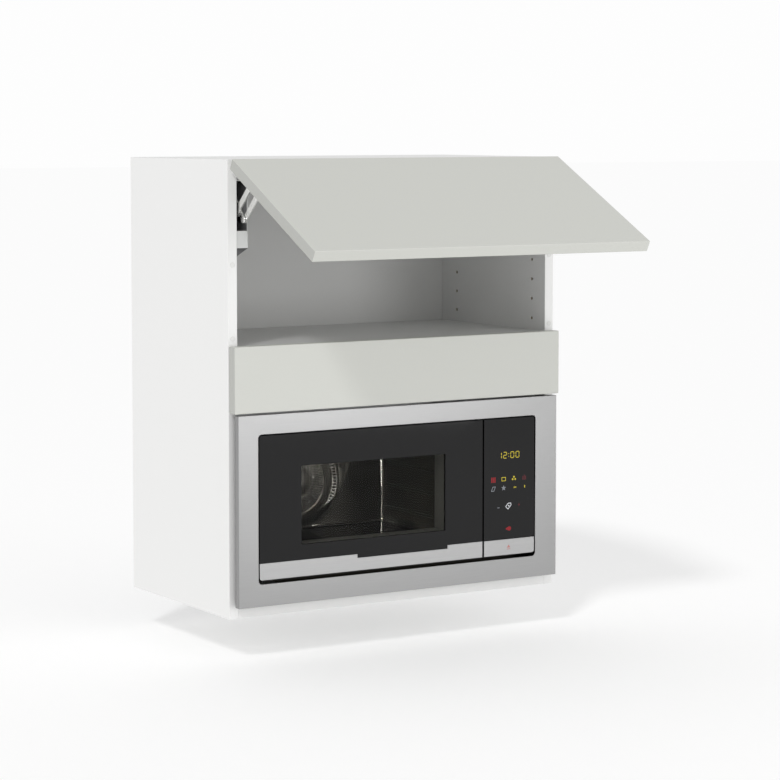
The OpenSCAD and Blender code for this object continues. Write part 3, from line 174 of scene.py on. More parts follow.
# clear polyurethane stops: pale and slightly glossy
clearRubber = finish("clearRubber", ("#dcdcda", "#e6e6e4"), (0.25, 0.4), 0.8, 0.01)
# vitreous enamel on steel: smooth black with soft highlights
blackEnamel = finish("blackEnamel", ("#101010", "#161616"), (0.18, 0.28), 3.0, 0.006)
# float glass printed black on its rear: a deep, even black with one clear reflection
blackGlass = finish("blackGlass", ("#0f0f10", "#101011"), (0.04, 0.06), 8.0, 0.0005, **{"Specular IOR Level": 0.28})
# rolled glass ceramic: polished black floor plate
glassCeramic = finish("glassCeramic", ("#0a0a0b", "#0d0d0e"), (0.05, 0.08), 6.0, 0.0008)
# turned beech dowels: warm wood with grain along their length
beech = finish("beech", ("#c9a36f", "#b58b58"), (0.5, 0.65), 1.2, 0.02, (0.05, 1, 1))
# stacked iron laminations under varnish: dark brown-grey lines
laminations = finish("laminations", ("#3f3b37", "#57524c"), (0.45, 0.65), 0.8, 0.05, (1, 0.02, 1))
# glass fibre board under green solder resist
circuitBoard = finish("circuitBoard", ("#0e3d1d", "#14502a"), (0.3, 0.45), 2.0, 0.01)
# matt black enamel on the door's perforated screen, which shouldn't glint
screenEnamel = finish("screenEnamel", ("#050505", "#080808"), (0.5, 0.6), 3.0, 0.006, **{"Specular IOR Level": 0.12})
# the walls of the window's tunnel, drawn olive grey: painted light on them, a rim round the view
tunnelWallLight = finish("tunnelWallLight", ("#50504a", "#5e5e57"), (0.45, 0.55), 1.0, 0.006, (0.05, 1, 1))
# clear float glass: only its reflection and a slight darkening show
windowGlass = newMaterial("windowGlass", {"Base Color": colour("#030303"), "Roughness": 0.02, "Alpha": 0.08})[0]
innerGlass = newMaterial("innerGlass", {"Base Color": colour("#050505"), "Roughness": 0.02, "Alpha": 0.04})[0]
# pad-printed ink on the door key: matt brick red
keyPrint = newMaterial("keyPrint", {"Base Color": colour("#b0706a"), "Roughness": 0.5})[0]


def lit(name, code, strength):  # a lamp-lit mark behind the dark glass
    return newMaterial(name, {"Base Color": colour("#161616"), "Emission Color": colour(code), "Roughness": 0.3,
                              "Specular IOR Level": 0.2, "Emission Strength": strength})[0]


litAmber = lit("litAmber", "#cdbb32", 0.95)
litRed = lit("litRed", "#92101a", 0.9)
litDimRed = lit("litDimRed", "#5f1a22", 0.8)
litWhite = lit("litWhite", "#dcdee2", 1.0)
litGrey = lit("litGrey", "#8b8f96", 0.8)


def spangled():  # hot-dip galvanised sheet: zinc crystals of 8 mm, 120 to the metre, each with its own sheen
    material, shader = newMaterial("galvanisedSheet", {"Base Color": colour("#a5a9ac"), **metal})
    coords = addNode(material, "TexCoord").outputs["Object"]
    cells = addNode(material, "TexVoronoi", {"Scale": 120.0, "Randomness": 1.0}, {"Vector": coords})
    shade = addNode(material, "SeparateColor", {}, {"Color": cells.outputs["Color"]}).outputs[0]
    tint = addNode(material, "Mix", {"data_type": "RGBA", 6: colour("#999da0"), 7: colour("#b3b7ba")}, {0: shade})
    gloss = addNode(material, "MapRange", {"To Min": 0.32, "To Max": 0.52}, {"Value": shade})
    material.node_tree.links.new(tint.outputs[2], shader.inputs["Base Color"])
    material.node_tree.links.new(gloss.outputs[0], shader.inputs["Roughness"])
    return material


galvanisedSheet = spangled()
finishOf = {
    "melamine_white": melamineWhite, "beech_dowel": beech, "lacquer_pebble": lacquerPebble, "zinc_steel": zincPlate,
    "clear_rubber": clearRubber, "white_plastic": whitePlastic, "nickel_steel": nickelPlate,
    "grey_plastic": greyPlastic, "spring_steel": springSteel, "black_plastic": blackPlastic,
    "galvanised_sheet": galvanisedSheet, "cavity_steel": cavitySteel, "brushed_stainless": brushedStainless,
    "glass_ceramic": glassCeramic, "heater_tube": heaterTube, "transformer_iron": laminations,
    "black_glass": blackGlass, "circuit_board": circuitBoard, "display": litAmber, "black_enamel": blackEnamel,
    "black_rubber": blackRubber,
}
for name, node in frame["nodes"].items():
    node.data.materials.clear()
    node.data.materials.append(finishOf[slotOf[name]])
print("materials made:", len(bpy.data.materials))


# millimetres within which points are joined, degrees from which edges are rounded or stay sharp, and the share of
# a panel's area from which a side counts as broad
meshing = {"join": 0.002, "rounded": 35, "sharp": 50, "broad": 0.005}


def fromNode(node):  # a copy of a CAD node's mesh, with its triangles joined
    bm = bmesh.new()
    bm.from_mesh(frame["nodes"][node].data)
    bmesh.ops.remove_doubles(bm, verts=bm.verts, dist=meshing["join"] * mm)
    bmesh.ops.dissolve_degenerate(bm, dist=meshing["join"] * mm, edges=bm.edges)
    bm.normal_update()
    return bm


def roundEdges(bm, radius, segments=2, shortest=0.0):  # softens the outer edges over a length
    edges = [e for e in bm.edges if len(e.link_faces) == 2 and e.is_convex and e.calc_length() > shortest * mm
             and e.calc_face_angle() > math.radians(meshing["rounded"])]
    bmesh.ops.bevel(bm, geom=edges, offset=radius * mm, offset_type="OFFSET", segments=segments, profile=0.5,
                    affect="EDGES", clamp_overlap=True, material=-1)


def hollow(bm, faces, line):  # leaves only a rim of each face, so many millimetres wide
    bm.normal_update()
    bmesh.ops.inset_individual(bm, faces=faces, thickness=line * mm, use_even_offset=True)
    bmesh.ops.delete(bm, geom=faces, context="FACES_ONLY")


def cutAt(bm, point, normal):  # parts the faces along a plane
    bmesh.ops.bisect_plane(bm, geom=bm.verts[:] + bm.edges[:] + bm.faces[:], plane_co=point, plane_no=normal)


def flatSides(mesh):  # the broad sides of a panel stay flat right up to their bores
    shares = {}
    keys = [tuple(round(v, 3) + 0.0 for v in polygon.normal) for polygon in mesh.polygons]
    for polygon, key in zip(mesh.polygons, keys):
        shares[key] = shares.get(key, 0.0) + polygon.area
    least = meshing["broad"] * sum(shares.values())
    for polygon, key in zip(mesh.polygons, keys):
        if shares[key] > least:
            polygon.use_smooth = False


def makePiece(bm, name, body, materials, stands=(), slot=None, panel=False):
    mesh = bpy.data.meshes.new(name)
    bm.to_mesh(mesh)
    bm.free()
    for material in materials:
        mesh.materials.append(material)
    mesh.polygons.foreach_set("use_smooth", [True] * len(mesh.polygons))
    mesh.set_sharp_from_angle(angle=math.radians(meshing["sharp"]))
    if panel:
        flatSides(mesh)
    piece = bpy.data.objects.new(name, mesh)
    bpy.context.scene.collection.objects.link(piece)
    piece.modifiers.new("flatFaces", "WEIGHTED_NORMAL").keep_sharp = True
    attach(piece, body)
    if stands:
        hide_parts(*stands)
    return piece


# node: radius of its edges, segments, and the shortest edge that is rounded, in millimetres
softEdges = {
    "side_left": (0.6, 2, 60), "side_right": (0.6, 2, 60), "top_panel": (0.5, 2, 60), "bottom_panel": (0.6, 2, 60),
    "fixed_shelf": (0.5, 2, 60), "back_panel": (0.4, 2, 30), "flap_panel": (1.2, 3, 12), "fascia_strip": (1.2, 3, 12),
    "fascia_angles": (0.5, 2, 0), "wall_rail": (0.5, 2, 8), "hanger_hooks": (0.5, 2, 0), "hanger_bodies": (0.8, 2, 3),
    "main_lever_left": (0.35, 2, 0), "main_lever_right": (0.35, 2, 0),
    "guide_lever_left": (0.35, 2, 0), "guide_lever_right": (0.35, 2, 0), "lower_link_left": (0.35, 2, 0),
    "lower_link_right": (0.35, 2, 0), "upper_link_left": (0.35, 2, 0), "upper_link_right": (0.35, 2, 0),
    "flap_brackets": (0.35, 2, 0), "trim_frame": (0.7, 3, 0), "spacer_frame": (0.5, 2, 8), "casing": (0.4, 2, 30),
    "door_bar": (0.35, 2, 0), "open_button": (0.35, 2, 0), "control_glass": (0.3, 2, 0), "door_hinges": (0.4, 2, 0),
    "door_hooks": (0.3, 2, 0), "cord_gland": (0.8, 3, 0), "front_bumpers": (0.25, 2, 0),
    "ceramic_floor": (0.6, 2, 10), "convection_motor": (1.0, 2, 0),
}
# faces of the carcass that look into its compartments, and how deep a panel's own skin goes
inside = {"width": 284.1, "front": 0.2, "rear": 308.1, "low": 15.9, "high": 684.1, "skin": 0.3}


def isInside(face):
    middle = face.calc_center_median() / mm
    y, z = middle.y + origin["depth"], middle.z + origin["railHeight"]
    return (inside["front"] < y < inside["rear"] and abs(middle.x) < inside["width"]
            and inside["low"] < z < inside["high"])


def isDrilled(face, low, high):  # inside a bore or groove, under the panel's own skin
    middle, skin = face.calc_center_median(), inside["skin"] * mm
    return all(low[i] + skin < middle[i] < high[i] - skin for i in range(3))


def isEnd(face, low, high):  # one of a front's two upright ends
    x = face.calc_center_median().x
    return min(abs(x - low.x), abs(x - high.x)) < 0.01 * mm


for node, (radius, segments, shortest) in softEdges.items():
    bm = fromNode(node)
    # the trim frame's steel carries painted shade
    materials = [trimStainless if node == "trim_frame" else finishOf[slotOf[node]]]
    if slotOf[node] == "melamine_white":
        # faces that look into the compartments get the painted shade, bores the raw chipboard
        materials += [melamineInsideShade, rawChipboard]
        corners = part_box(node)
        for face in bm.faces:
            face.material_index = 2 if isDrilled(face, *corners) else int(isInside(face))
    # the fronts' upright ends get the painted shade
    if node in ("flap_panel", "fascia_strip"):
        materials.append(endEdgeShade)
        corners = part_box(node)
        for face in bm.faces:
            face.material_index = int(isEnd(face, *corners))
    roundEdges(bm, radius, segments, shortest)
    makePiece(bm, node.replace("_", "-"), bodyOf[node], materials, [node], slotOf[node],
              panel=slotOf[node] in ("melamine_white", slotOf["flap_panel"]))
print("softened panels and fittings:", len(softEdges))

# screws: low domed heads with a cross recess; half and arm are shares of the head's radius and of the grid's cells
driver = {"half": 0.62, "cells": 5, "arm": 1.6, "rise": 0.15, "deep": 0.6}


def islandsOf(bm):  # the separate solids of a node
    left = set(bm.faces)
    while left:
        found, queue = set(), [left.pop()]
        while queue:
            face = queue.pop()
            found.add(face)
            for other in {g for edge in face.edges for g in edge.link_faces} & left:
                left.discard(other)
                queue.append(other)
        yield found


def crossRecess(bm, island):
    planes = {}  # the head's top is the broadest of the screw's flat sides
    for face in island:
        normal = face.normal
        key = (*(round(v, 1) for v in normal), round(normal.dot(face.calc_center_median()) / mm, 1))
        planes.setdefault(key, []).append(face)
    top = max(planes.values(), key=lambda group: sum(f.calc_area() for f in group))
    face = bmesh.ops.dissolve_faces(bm, faces=top)["region"][0] if len(top) > 1 else top[0]
    normal, centre, rim = face.normal.copy(), face.calc_center_bounds(), list(face.edges)
    radius = math.sqrt(face.calc_area() / math.pi)
    bmesh.ops.delete(bm, geom=[face], context="FACES_ONLY")
    upright = normal.to_track_quat("Z", "Y").to_matrix().to_4x4()
    turn = Matrix.Translation(centre + normal * driver["rise"] * mm) @ upright
    made = bmesh.ops.create_grid(bm, x_segments=driver["cells"], y_segments=driver["cells"],
                                 size=radius * driver["half"], matrix=turn)
    cells = list({f for v in made["verts"] for f in v.link_faces})
    border = [e for e in {e for f in cells for e in f.edges} if len(e.link_faces) == 1]
    cell = 2 * radius * driver["half"] / driver["cells"]
    cross = []
    for one in cells:
        x, y, _ = (turn.inverted() @ one.calc_center_median()) / cell
        if min(abs(x), abs(y)) < 0.5 and max(abs(x), abs(y)) < driver["arm"]:
            cross.append(one)
    pushed = bmesh.ops.extrude_face_region(bm, geom=cross)["geom"]
    bmesh.ops.translate(bm, vec=-normal * driver["deep"] * mm,
                        verts=[g for g in pushed if isinstance(g, bmesh.types.BMVert)])
    bmesh.ops.delete(bm, geom=[f for f in cross if f.is_valid], context="FACES_ONLY")
    bmesh.ops.bridge_loops(bm, edges=border + rim)


for node in ("lift_screws", "bracket_screws"):
    bm = fromNode(node)
    bm.normal_update()
    for island in list(islandsOf(bm)):
        crossRecess(bm, island)
    bmesh.ops.recalc_face_normals(bm, faces=bm.faces)
    makePiece(bm, node.replace("_", "-"), bodyOf[node], [zincPlate], [node], slotOf[node])

# the lift's covers: light grey outside, with painted shade inside and on the darker lower step
liftCover = {"skin": 0.9, "radius": 0.6, "slope": 13.0, "width": 20.0}
bm = fromNode("lift_covers")
low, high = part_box("lift_covers")
step = low.z + liftCover["slope"] * mm  # painted shade on the front and underside below this height
cutAt(bm, (0, 0, step), (0, 0, 1))
bm.normal_update()
for face in bm.faces:
    middle = face.calc_center_median()
    depth = min(abs(middle.x) - high.x + liftCover["width"] * mm, middle.y - low.y, high.y - middle.y,
                high.z - middle.z)
    if depth > liftCover["skin"] * mm:
        face.material_index = 1
    elif middle.z < step:
        face.material_index = 2
roundEdges(bm, liftCover["radius"], 2, 1)
makePiece(bm, "lift-covers", "cabinet", [greyPlastic, coverInsideShade, coverUndersideShade], ["lift_covers"], "grey_plastic")
frame["nodes"]["lift_bases"].data.materials.clear()
frame["nodes"]["lift_bases"].data.materials.append(darkZinc)

# the oven door's outer glass: a dark print all round a clear window
doorGlass = {"windowX": (-184.0, 79.0), "windowZ": (108.5, 231.0), "edge": 0.3, "inner": 0.4, "play": 0.5}


def inWindow(point, grow=0.0):  # over the window, grown by so many millimetres
    (x0, x1), (z0, z1) = doorGlass["windowX"], doorGlass["windowZ"]
    low, high = place(x0 - grow, 0, z0 - grow), place(x1 + grow, 0, z1 + grow)
    return low.x < point.x < high.x and low.z < point.z < high.z


def cutWindow(bm):  # parts the faces along the window's four sides
    for x in doorGlass["windowX"]:
        cutAt(bm, place(x, 0, 0), (1, 0, 0))
    for z in doorGlass["windowZ"]:
        cutAt(bm, place(0, 0, z), (0, 0, 1))


bm = fromNode("door_glass")
roundEdges(bm, doorGlass["edge"], 2)
cutWindow(bm)
for face in bm.faces:
    face.material_index = int(inWindow(face.calc_center_median()))
makePiece(bm, "door-glass", "oven_door", [blackGlass, windowGlass], ["door_glass"], "black_glass")

# the inner glass of the door, clear from edge to edge
bm = fromNode("door_inner_glass")
roundEdges(bm, doorGlass["inner"], 2)
makePiece(bm, "door-inner-glass", "oven_door", [innerGlass], ["door_inner_glass"], "black_glass")

# the door's plastic frame, with painted light on the walls of the window's tunnel
bm = fromNode("door_frame")
for face in bm.faces:
    face.material_index = int(inWindow(face.calc_center_median(), doorGlass["play"]) and abs(face.normal.y) < 0.5)
roundEdges(bm, doorGlass["inner"], 2, 10)
makePiece(bm, "door-frame", "oven_door", [blackPlastic, tunnelWallLight], ["door_frame"], "black_plastic")

# the microwave screen: enamelled sheet with a field of square holes, drawn coarser than the usual 1.5 mm ones
screen = {"pitch": 2.6, "bar": 0.2, "front": 12.8, "thickness": 0.4}
bm = fromNode("door_screen")
cutWindow(bm)
opening = [face for face in bm.faces if inWindow(face.calc_center_median())]
bmesh.ops.delete(bm, geom=opening, context="FACES")
rims = [e for e in bm.edges if e.is_boundary]
bmesh.ops.bridge_loops(bm, edges=rims)
makePiece(bm, "door-screen-frame", "oven_door", [screenEnamel], ["door_screen"], "black_enamel")
spanX = doorGlass["windowX"][1] - doorGlass["windowX"][0]
spanZ = doorGlass["windowZ"][1] - doorGlass["windowZ"][0]
bm = bmesh.new()
bmesh.ops.create_grid(bm, x_segments=round(spanX / screen["pitch"]), y_segments=round(spanZ / screen["pitch"]),
                      size=0.5)
bmesh.ops.scale(bm, vec=(spanX * mm, spanZ * mm, 1), verts=bm.verts)
bmesh.ops.rotate(bm, cent=(0, 0, 0), matrix=Matrix.Rotation(math.radians(90), 3, "X"), verts=bm.verts)
middle = place(sum(doorGlass["windowX"]) / 2, screen["front"], sum(doorGlass["windowZ"]) / 2)
bmesh.ops.translate(bm, vec=middle, verts=bm.verts)
hollow(bm, bm.faces[:], screen["bar"])
bmesh.ops.solidify(bm, geom=bm.faces[:], thickness=-screen["thickness"] * mm)
bmesh.ops.recalc_face_normals(bm, faces=bm.faces)
makePiece(bm, "door-screen-mesh", "oven_door", [screenEnamel], [], "black_enamel")
print("oven door made")

# lit marks of the control panel, a hair in front of the glass
marks = {"front": -19.53, "thickness": 0.03}


def addOutline(bm, points):  # a flat mark from its corners, in millimetres across and up the panel
    verts = [bm.verts.new(place(x, marks["front"], z)) for x, z in points]
    return bm.faces.new(verts)


def addDisc(bm, x, z, radius):
    spot = Matrix.Translation(place(x, marks["front"], z)) @ Matrix.Rotation(math.radians(90), 4, "X")
    bmesh.ops.create_circle(bm, cap_ends=True, radius=radius * mm, segments=20, matrix=spot)


def addBox(bm, x, z, width, height, line=0.0):  # a filled box, or its outline when a line width is given
    half, up = width / 2, height / 2
    face = addOutline(bm, [(x - half, z - up), (x + half, z - up), (x + half, z + up), (x - half, z + up)])
    if line:
        hollow(bm, [face], line)


def addRow(bm, x, z, width, height, pitch):  # three boxes side by side
    for i in range(3):
        addBox(bm, x + i * pitch, z, width, height)


def markPiece(bm, name, material, body="cabinet"):
    bmesh.ops.recalc_face_normals(bm, faces=bm.faces)
    bmesh.ops.solidify(bm, geom=bm.faces[:], thickness=marks["thickness"] * mm)
    bmesh.ops.recalc_face_normals(bm, faces=bm.faces)
    makePiece(bm, name, body, [material], [], "display")


clock = {"left": 185.9, "bottom": 215.8, "width": 7.4, "height": 10.8, "gap": 2.7, "line": 1.25, "cut": 0.2,
         "dots": (0.3, 0.7)}
segmentsOf = {"0": "abcdef", "1": "bc", "2": "abged"}


def addSegment(bm, x, z, length, upright):  # a bar with pointed ends, from its middle
    half, point = length / 2 - clock["cut"], clock["line"] / 2
    shape = [(-half, 0), (-half + point, -point), (half - point, -point), (half, 0), (half - point, point),
             (-half + point, point)]
    addOutline(bm, [(x + b, z - a) if upright else (x + a, z + b) for a, b in shape])


def addDigit(bm, digit, x):
    wide, tall, line = clock["width"], clock["height"], clock["line"]
    reach, rise = wide - line, (tall - line) / 2
    for name in segmentsOf[digit]:
        if name in "agd":
            addSegment(bm, x + wide / 2, clock["bottom"] + line / 2 + rise * "dga".index(name), reach, False)
        else:
            side = x + (line / 2 if name in "fe" else wide - line / 2)
            addSegment(bm, side, clock["bottom"] + line / 2 + rise * (1.5 if name in "fb" else 0.5), rise, True)


bm = bmesh.new()
x = clock["left"] - clock["width"] + clock["line"]
for character in "12:00":
    if character == ":":
        for share in clock["dots"]:
            addBox(bm, x + clock["line"] / 2, clock["bottom"] + clock["height"] * share, clock["line"], clock["line"])
        x += clock["line"] + clock["gap"]
    else:
        addDigit(bm, character, x)
        x += clock["width"] + clock["gap"]
markPiece(bm, "clock-digits", litAmber)

# the other marks: a box is x, z, width and height, then a line width or a pitch
icons = {
    "dish": (191, 182.5, 8.2, 6.6, 1.0), "dots": ((208.5, 181.2), (213.5, 181.2), (211, 185)), "dotRadius": 1.6,
    "levels": (211.2, 168, 1.0, 2.6, 1.8), "tick": (232, 168, 1.6, 4.0),
    "heat": (167.9, 182.3, 2.3, 8.6, 3.1), "start": (202.2, 101.5, 3.5),
    "startTip": ((194.6, 101.5), (199.2, 98.6), (199.2, 104.4)),
    "grill": ((228.6, 182.0, 1.7, 6.0), (231.2, 182.8, 1.7, 8.0), (233.8, 182.0, 1.7, 6.0)),
    "plus": ((221, 139, 4.2, 1.0), (221, 140.6, 1.0, 2.2), (221, 137.4, 1.0, 2.2)), "minus": (181, 136.6, 4.2, 1.1),
    "tag": ((194.4, 137.4), (199.6, 132.6), (206.2, 139.4), (205.4, 143.4), (199.4, 143.2)),
    "tagHole": (201, 138.6, 2.2, 2.2), "leaf": ((166.4, 163.8), (172.4, 163.8), (175.6, 171.6), (169.6, 171.6)),
    "outline": 1.1, "star": (191, 168), "starRadii": (4.8, 2.1),
    "keyTip": ((197.6, 70.4), (204.4, 70.4), (201.0, 75.4)), "keyLine": (201.0, 68.2, 6.8, 1.1),
}
bm = bmesh.new()  # amber: a dish, three dots, three levels and a tick
addBox(bm, *icons["dish"])
for x, z in icons["dots"]:
    addDisc(bm, x, z, icons["dotRadius"])
addRow(bm, *icons["levels"])
addBox(bm, *icons["tick"])
markPiece(bm, "amber-marks", litAmber)
bm = bmesh.new()  # red: three bars of heat, and the start key's pointed disc
addRow(bm, *icons["heat"])
addDisc(bm, *icons["start"])
addOutline(bm, icons["startTip"])
markPiece(bm, "red-marks", litRed)
bm = bmesh.new()  # dim red: three grill bars and a plus
for box in icons["grill"] + icons["plus"]:
    addBox(bm, *box)
markPiece(bm, "dim-red-marks", litDimRed)
bm = bmesh.new()  # white: a tilted tag outline with a dot
hollow(bm, [addOutline(bm, icons["tag"])], icons["outline"])
addBox(bm, *icons["tagHole"])
markPiece(bm, "white-marks", litWhite)
bm = bmesh.new()  # grey: a leaf outline, a star and a minus
hollow(bm, [addOutline(bm, icons["leaf"])], icons["outline"])
x, z = icons["star"]
addOutline(bm, [(x + radius * math.sin(math.radians(36 * i)), z + radius * math.cos(math.radians(36 * i)))
                for i, radius in enumerate(icons["starRadii"] * 5)])
addBox(bm, *icons["minus"])
markPiece(bm, "grey-marks", litGrey)
bm = bmesh.new()  # the door key's mark, a triangle over a line, on the key itself
marks["front"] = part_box("open_button")[0].y / mm + origin["depth"] - marks["thickness"]
addOutline(bm, icons["keyTip"])
addBox(bm, *icons["keyLine"])
markPiece(bm, "door-key-mark", keyPrint, "door_button")
print("control panel marked")

# the oven's cavity: the CAD's box with its long corners rounded, a cove round the rear wall, and a pressed boss
cavity = {"x": (-190.0, 144.0), "z": (76.0, 256.0), "floor": 80.02, "rear": 280.0, "radius": 3.2, "wall": 1.0,
          "steps": 5, "long": 200.0}
boss = {"radius": 104.0, "lift": 45.0, "height": 8.0, "slope": 3.0, "below": 6.0, "bore": 76.0, "sheet": 0.3}
fanCover = {
    "x": -23.0, "z": 158.0, "steps": 84, "sheet": 0.5,
    "dome": [(0.02, 9.5), (8, 9.2), (15, 8.2), (20, 6.8), (23.6, 5.2), (24.4, 3.2), (25.6, 3.2), (26.6, 5.6)],
    "field": {"from": 26.6, "to": 51.0, "rings": 8, "out": 5.6, "fall": 2.0, "bar": 0.55},
    "groove": [(51.0, 3.6), (52.0, 1.2), (53.4, 1.2), (54.6, 2.4), (62, 2.2), (68, 2.2)],
    "slots": [(68, 2.2), (74.2, 7.6)], "slotBar": 0.9, "lip": [(74.2, 7.6), (76.0, 8.2), (78, 8.2)],
}


def isCorner(edge, out):  # one of the cavity's long corners, inside (out = 0) or outside (out = the wall)
    low = place(cavity["x"][0] - out, 0, cavity["z"][0] - out)
    high = place(cavity["x"][1] + out, 0, cavity["z"][1] + out)
    ends = [v.co for v in edge.verts]
    gaps = [min(abs(p[i] - low[i]), abs(p[i] - high[i])) for p in ends for i in (0, 2)]
    return max(gaps) < 0.02 * mm and abs(ends[0].y - ends[1].y) > cavity["long"] * mm


bm = fromNode("cavity")
for out in (0.0, cavity["wall"]):
    corners = [e for e in bm.edges if isCorner(e, out)]
    bmesh.ops.bevel(bm, geom=corners, offset=(cavity["radius"] + out) * mm, offset_type="OFFSET",
                    segments=cavity["steps"], profile=0.5, affect="EDGES", material=-1)
makePiece(bm, "cavity", "cabinet", [cavitySteel], ["cavity"], "cavity_steel")


def addLoop(bm, inset, y, radius):  # a rounded rectangle round the cavity's inside
    (x0, x1), (z0, z1) = cavity["x"], (cavity["floor"], cavity["z"][1])
    spots = [(x0 + inset, z0 + inset), (x1 - inset, z0 + inset), (x1 - inset, z1 - inset), (x0 + inset, z1 - inset)]
    others = set(bm.faces)
    verts = [bm.verts.new(place(x, y, z)) for x, z in spots]
    bmesh.ops.bevel(bm, geom=[bm.faces.new(verts)] + verts, offset=radius * mm, offset_type="OFFSET", segments=4,
                    profile=0.5, affect="VERTICES", material=-1)
    face = max(set(bm.faces) - others, key=lambda f: f.calc_area())
    edges = list(face.edges)
    bmesh.ops.delete(bm, geom=[face], context="FACES_ONLY")
    return edges


def addBlock(bm, low, high):  # a solid block between two corners, in cabinet millimetres
    corner, far = place(*low), place(*high)
    size = far - corner
    bmesh.ops.create_cube(bm, size=1.0, matrix=Matrix.Translation((corner + far) / 2) @ Matrix.Diagonal((*size, 1.0)))


# the beads that carry a shelf, pressed into both side walls; the lowest one has painted light, the others painted
# shade
beads = {"heights": (107, 144, 181), "from": 92, "to": 268, "half": 1.3, "proud": 0.9, "sunk": 0.2, "dark": 116,
         "radius": 0.6}
bm = bmesh.new()
for x, turn in ((cavity["x"][0], 1), (cavity["x"][1], -1)):
    for height in beads["heights"]:
        near, far = sorted((x - turn * beads["sunk"], x + turn * beads["proud"]))
        addBlock(bm, (near, beads["from"], height - beads["half"]), (far, beads["to"], height + beads["half"]))
# beads above this height get the painted shade
for face in bm.faces:
    face.material_index = int(face.calc_center_median().z > place(0, 0, beads["dark"]).z)
roundEdges(bm, beads["radius"], 3, 0.5)
makePiece(bm, "shelf-beads", "cabinet", [domeSteel, shadowSteel], [], "cavity_steel")

# the cove, a quarter round from the walls to the rear wall, a hair in front of both
cove = {"clear": 0.02, "least": 0.6}
bm = bmesh.new()
bend, rear = cavity["radius"], cavity["rear"]
loops = []
for i in range(cavity["steps"] + 1):
    t = math.radians(90 * i / cavity["steps"])
    loops.append(addLoop(bm, bend * (1 - math.cos(t)), rear - bend + bend * math.sin(t) - cove["clear"],
                         max(bend * math.cos(t), cove["least"])))
loops.append(addLoop(bm, 0.0, rear - cove["clear"] / 2, bend))
for one, other in zip(loops, loops[1:] + loops[:1]):
    bmesh.ops.bridge_loops(bm, edges=one + other)
bmesh.ops.recalc_face_normals(bm, faces=bm.faces)
makePiece(bm, "cavity-cove", "cabinet", [cornerSteel], [], "cavity_steel")


# the pressed boss round the fan cover: an arch with a sloped edge, and a round opening for the cover's dish
def addArch(bm, radius, out, lift, top=None):  # a circle in front of the rear wall, cut off level at its top
    turn = Matrix.Translation(place(fanCover["x"], rear - out, fanCover["z"] + lift)) @ Matrix.Rotation(
        math.radians(90), 4, "X")
    made = bmesh.ops.create_circle(bm, cap_ends=True, radius=radius * mm, segments=fanCover["steps"], matrix=turn)
    face = made["verts"][0].link_faces[0]
    if top:
        cut = bmesh.ops.bisect_plane(bm, geom=made["verts"] + [face] + list(face.edges), plane_co=place(0, 0, top),
                                     plane_no=(0, 0, 1), clear_outer=True)
        face = [g for g in cut["geom"] if isinstance(g, bmesh.types.BMFace)][0]
    edges = list(face.edges)
    bmesh.ops.delete(bm, geom=[face], context="FACES_ONLY")
    return edges


bm = bmesh.new()
top = cavity["z"][1] - boss["below"]
loops = [addArch(bm, boss["radius"], cove["clear"], boss["lift"], top),
         addArch(bm, boss["radius"] - boss["slope"], boss["height"], boss["lift"], top - boss["slope"]),
         addArch(bm, boss["bore"], boss["height"], 0)]
for one, other in zip(loops, loops[1:]):
    bmesh.ops.bridge_loops(bm, edges=one + other)
bmesh.ops.recalc_face_normals(bm, faces=bm.faces)
piece = makePiece(bm, "cavity-boss", "cabinet", [bossSteel], [], "cavity_steel")
solid = piece.modifiers.new("sheet", "SOLIDIFY")
solid.thickness, solid.offset = boss["sheet"] * mm, 0.0


# the fan cover: a domed middle, a field of small holes, and a slotted rim that rises to the boss
def addSpun(bm, profile):  # pairs of radius and distance in front of the rear wall, turned about the fan's axis
    centre = place(fanCover["x"], 0, fanCover["z"])
    verts = [bm.verts.new(place(fanCover["x"] + radius, rear - out, fanCover["z"])) for radius, out in profile]
    edges = [bm.edges.new(pair) for pair in zip(verts, verts[1:])]
    bmesh.ops.spin(bm, geom=verts + edges, cent=centre, axis=(0, 1, 0), angle=math.radians(360),
                   steps=fanCover["steps"], use_merge=True)
    bmesh.ops.remove_doubles(bm, verts=bm.verts, dist=0.01 * mm)


def pierce(bm, profile, bar):  # the same turned band, with an opening in each of its cells
    band = bmesh.new()
    addSpun(band, profile)
    hollow(band, band.faces[:], bar)
    scratch = bpy.data.meshes.new("band")
    band.to_mesh(scratch)
    band.free()
    bm.from_mesh(scratch)
    bpy.data.meshes.remove(scratch)


bm = bmesh.new()
for profile in (fanCover["dome"], fanCover["groove"], fanCover["lip"]):
    addSpun(bm, profile)
field = fanCover["field"]
shares = [i / field["rings"] for i in range(field["rings"] + 1)]
pierce(bm, [(field["from"] + (field["to"] - field["from"]) * share, field["out"] - field["fall"] * share ** 2)
            for share in shares], field["bar"])
pierce(bm, fanCover["slots"], fanCover["slotBar"])
bmesh.ops.remove_doubles(bm, verts=bm.verts, dist=0.01 * mm)
bmesh.ops.recalc_face_normals(bm, faces=bm.faces)
for face in bm.faces:
    out = face.calc_center_median() - place(fanCover["x"], 0, fanCover["z"])
    radius = math.hypot(out.x, out.z) / mm
    face.material_index = int(radius < field["to"] or fanCover["slots"][0][0] < radius < fanCover["slots"][1][0])
piece = makePiece(bm, "fan-cover", "cabinet", [pressedSteel, domeSteel], ["fan_cover"], "cavity_steel")
solid = piece.modifiers.new("sheet", "SOLIDIFY")
solid.thickness, solid.offset = fanCover["sheet"] * mm, 0.0
print("cavity and fan cover made")

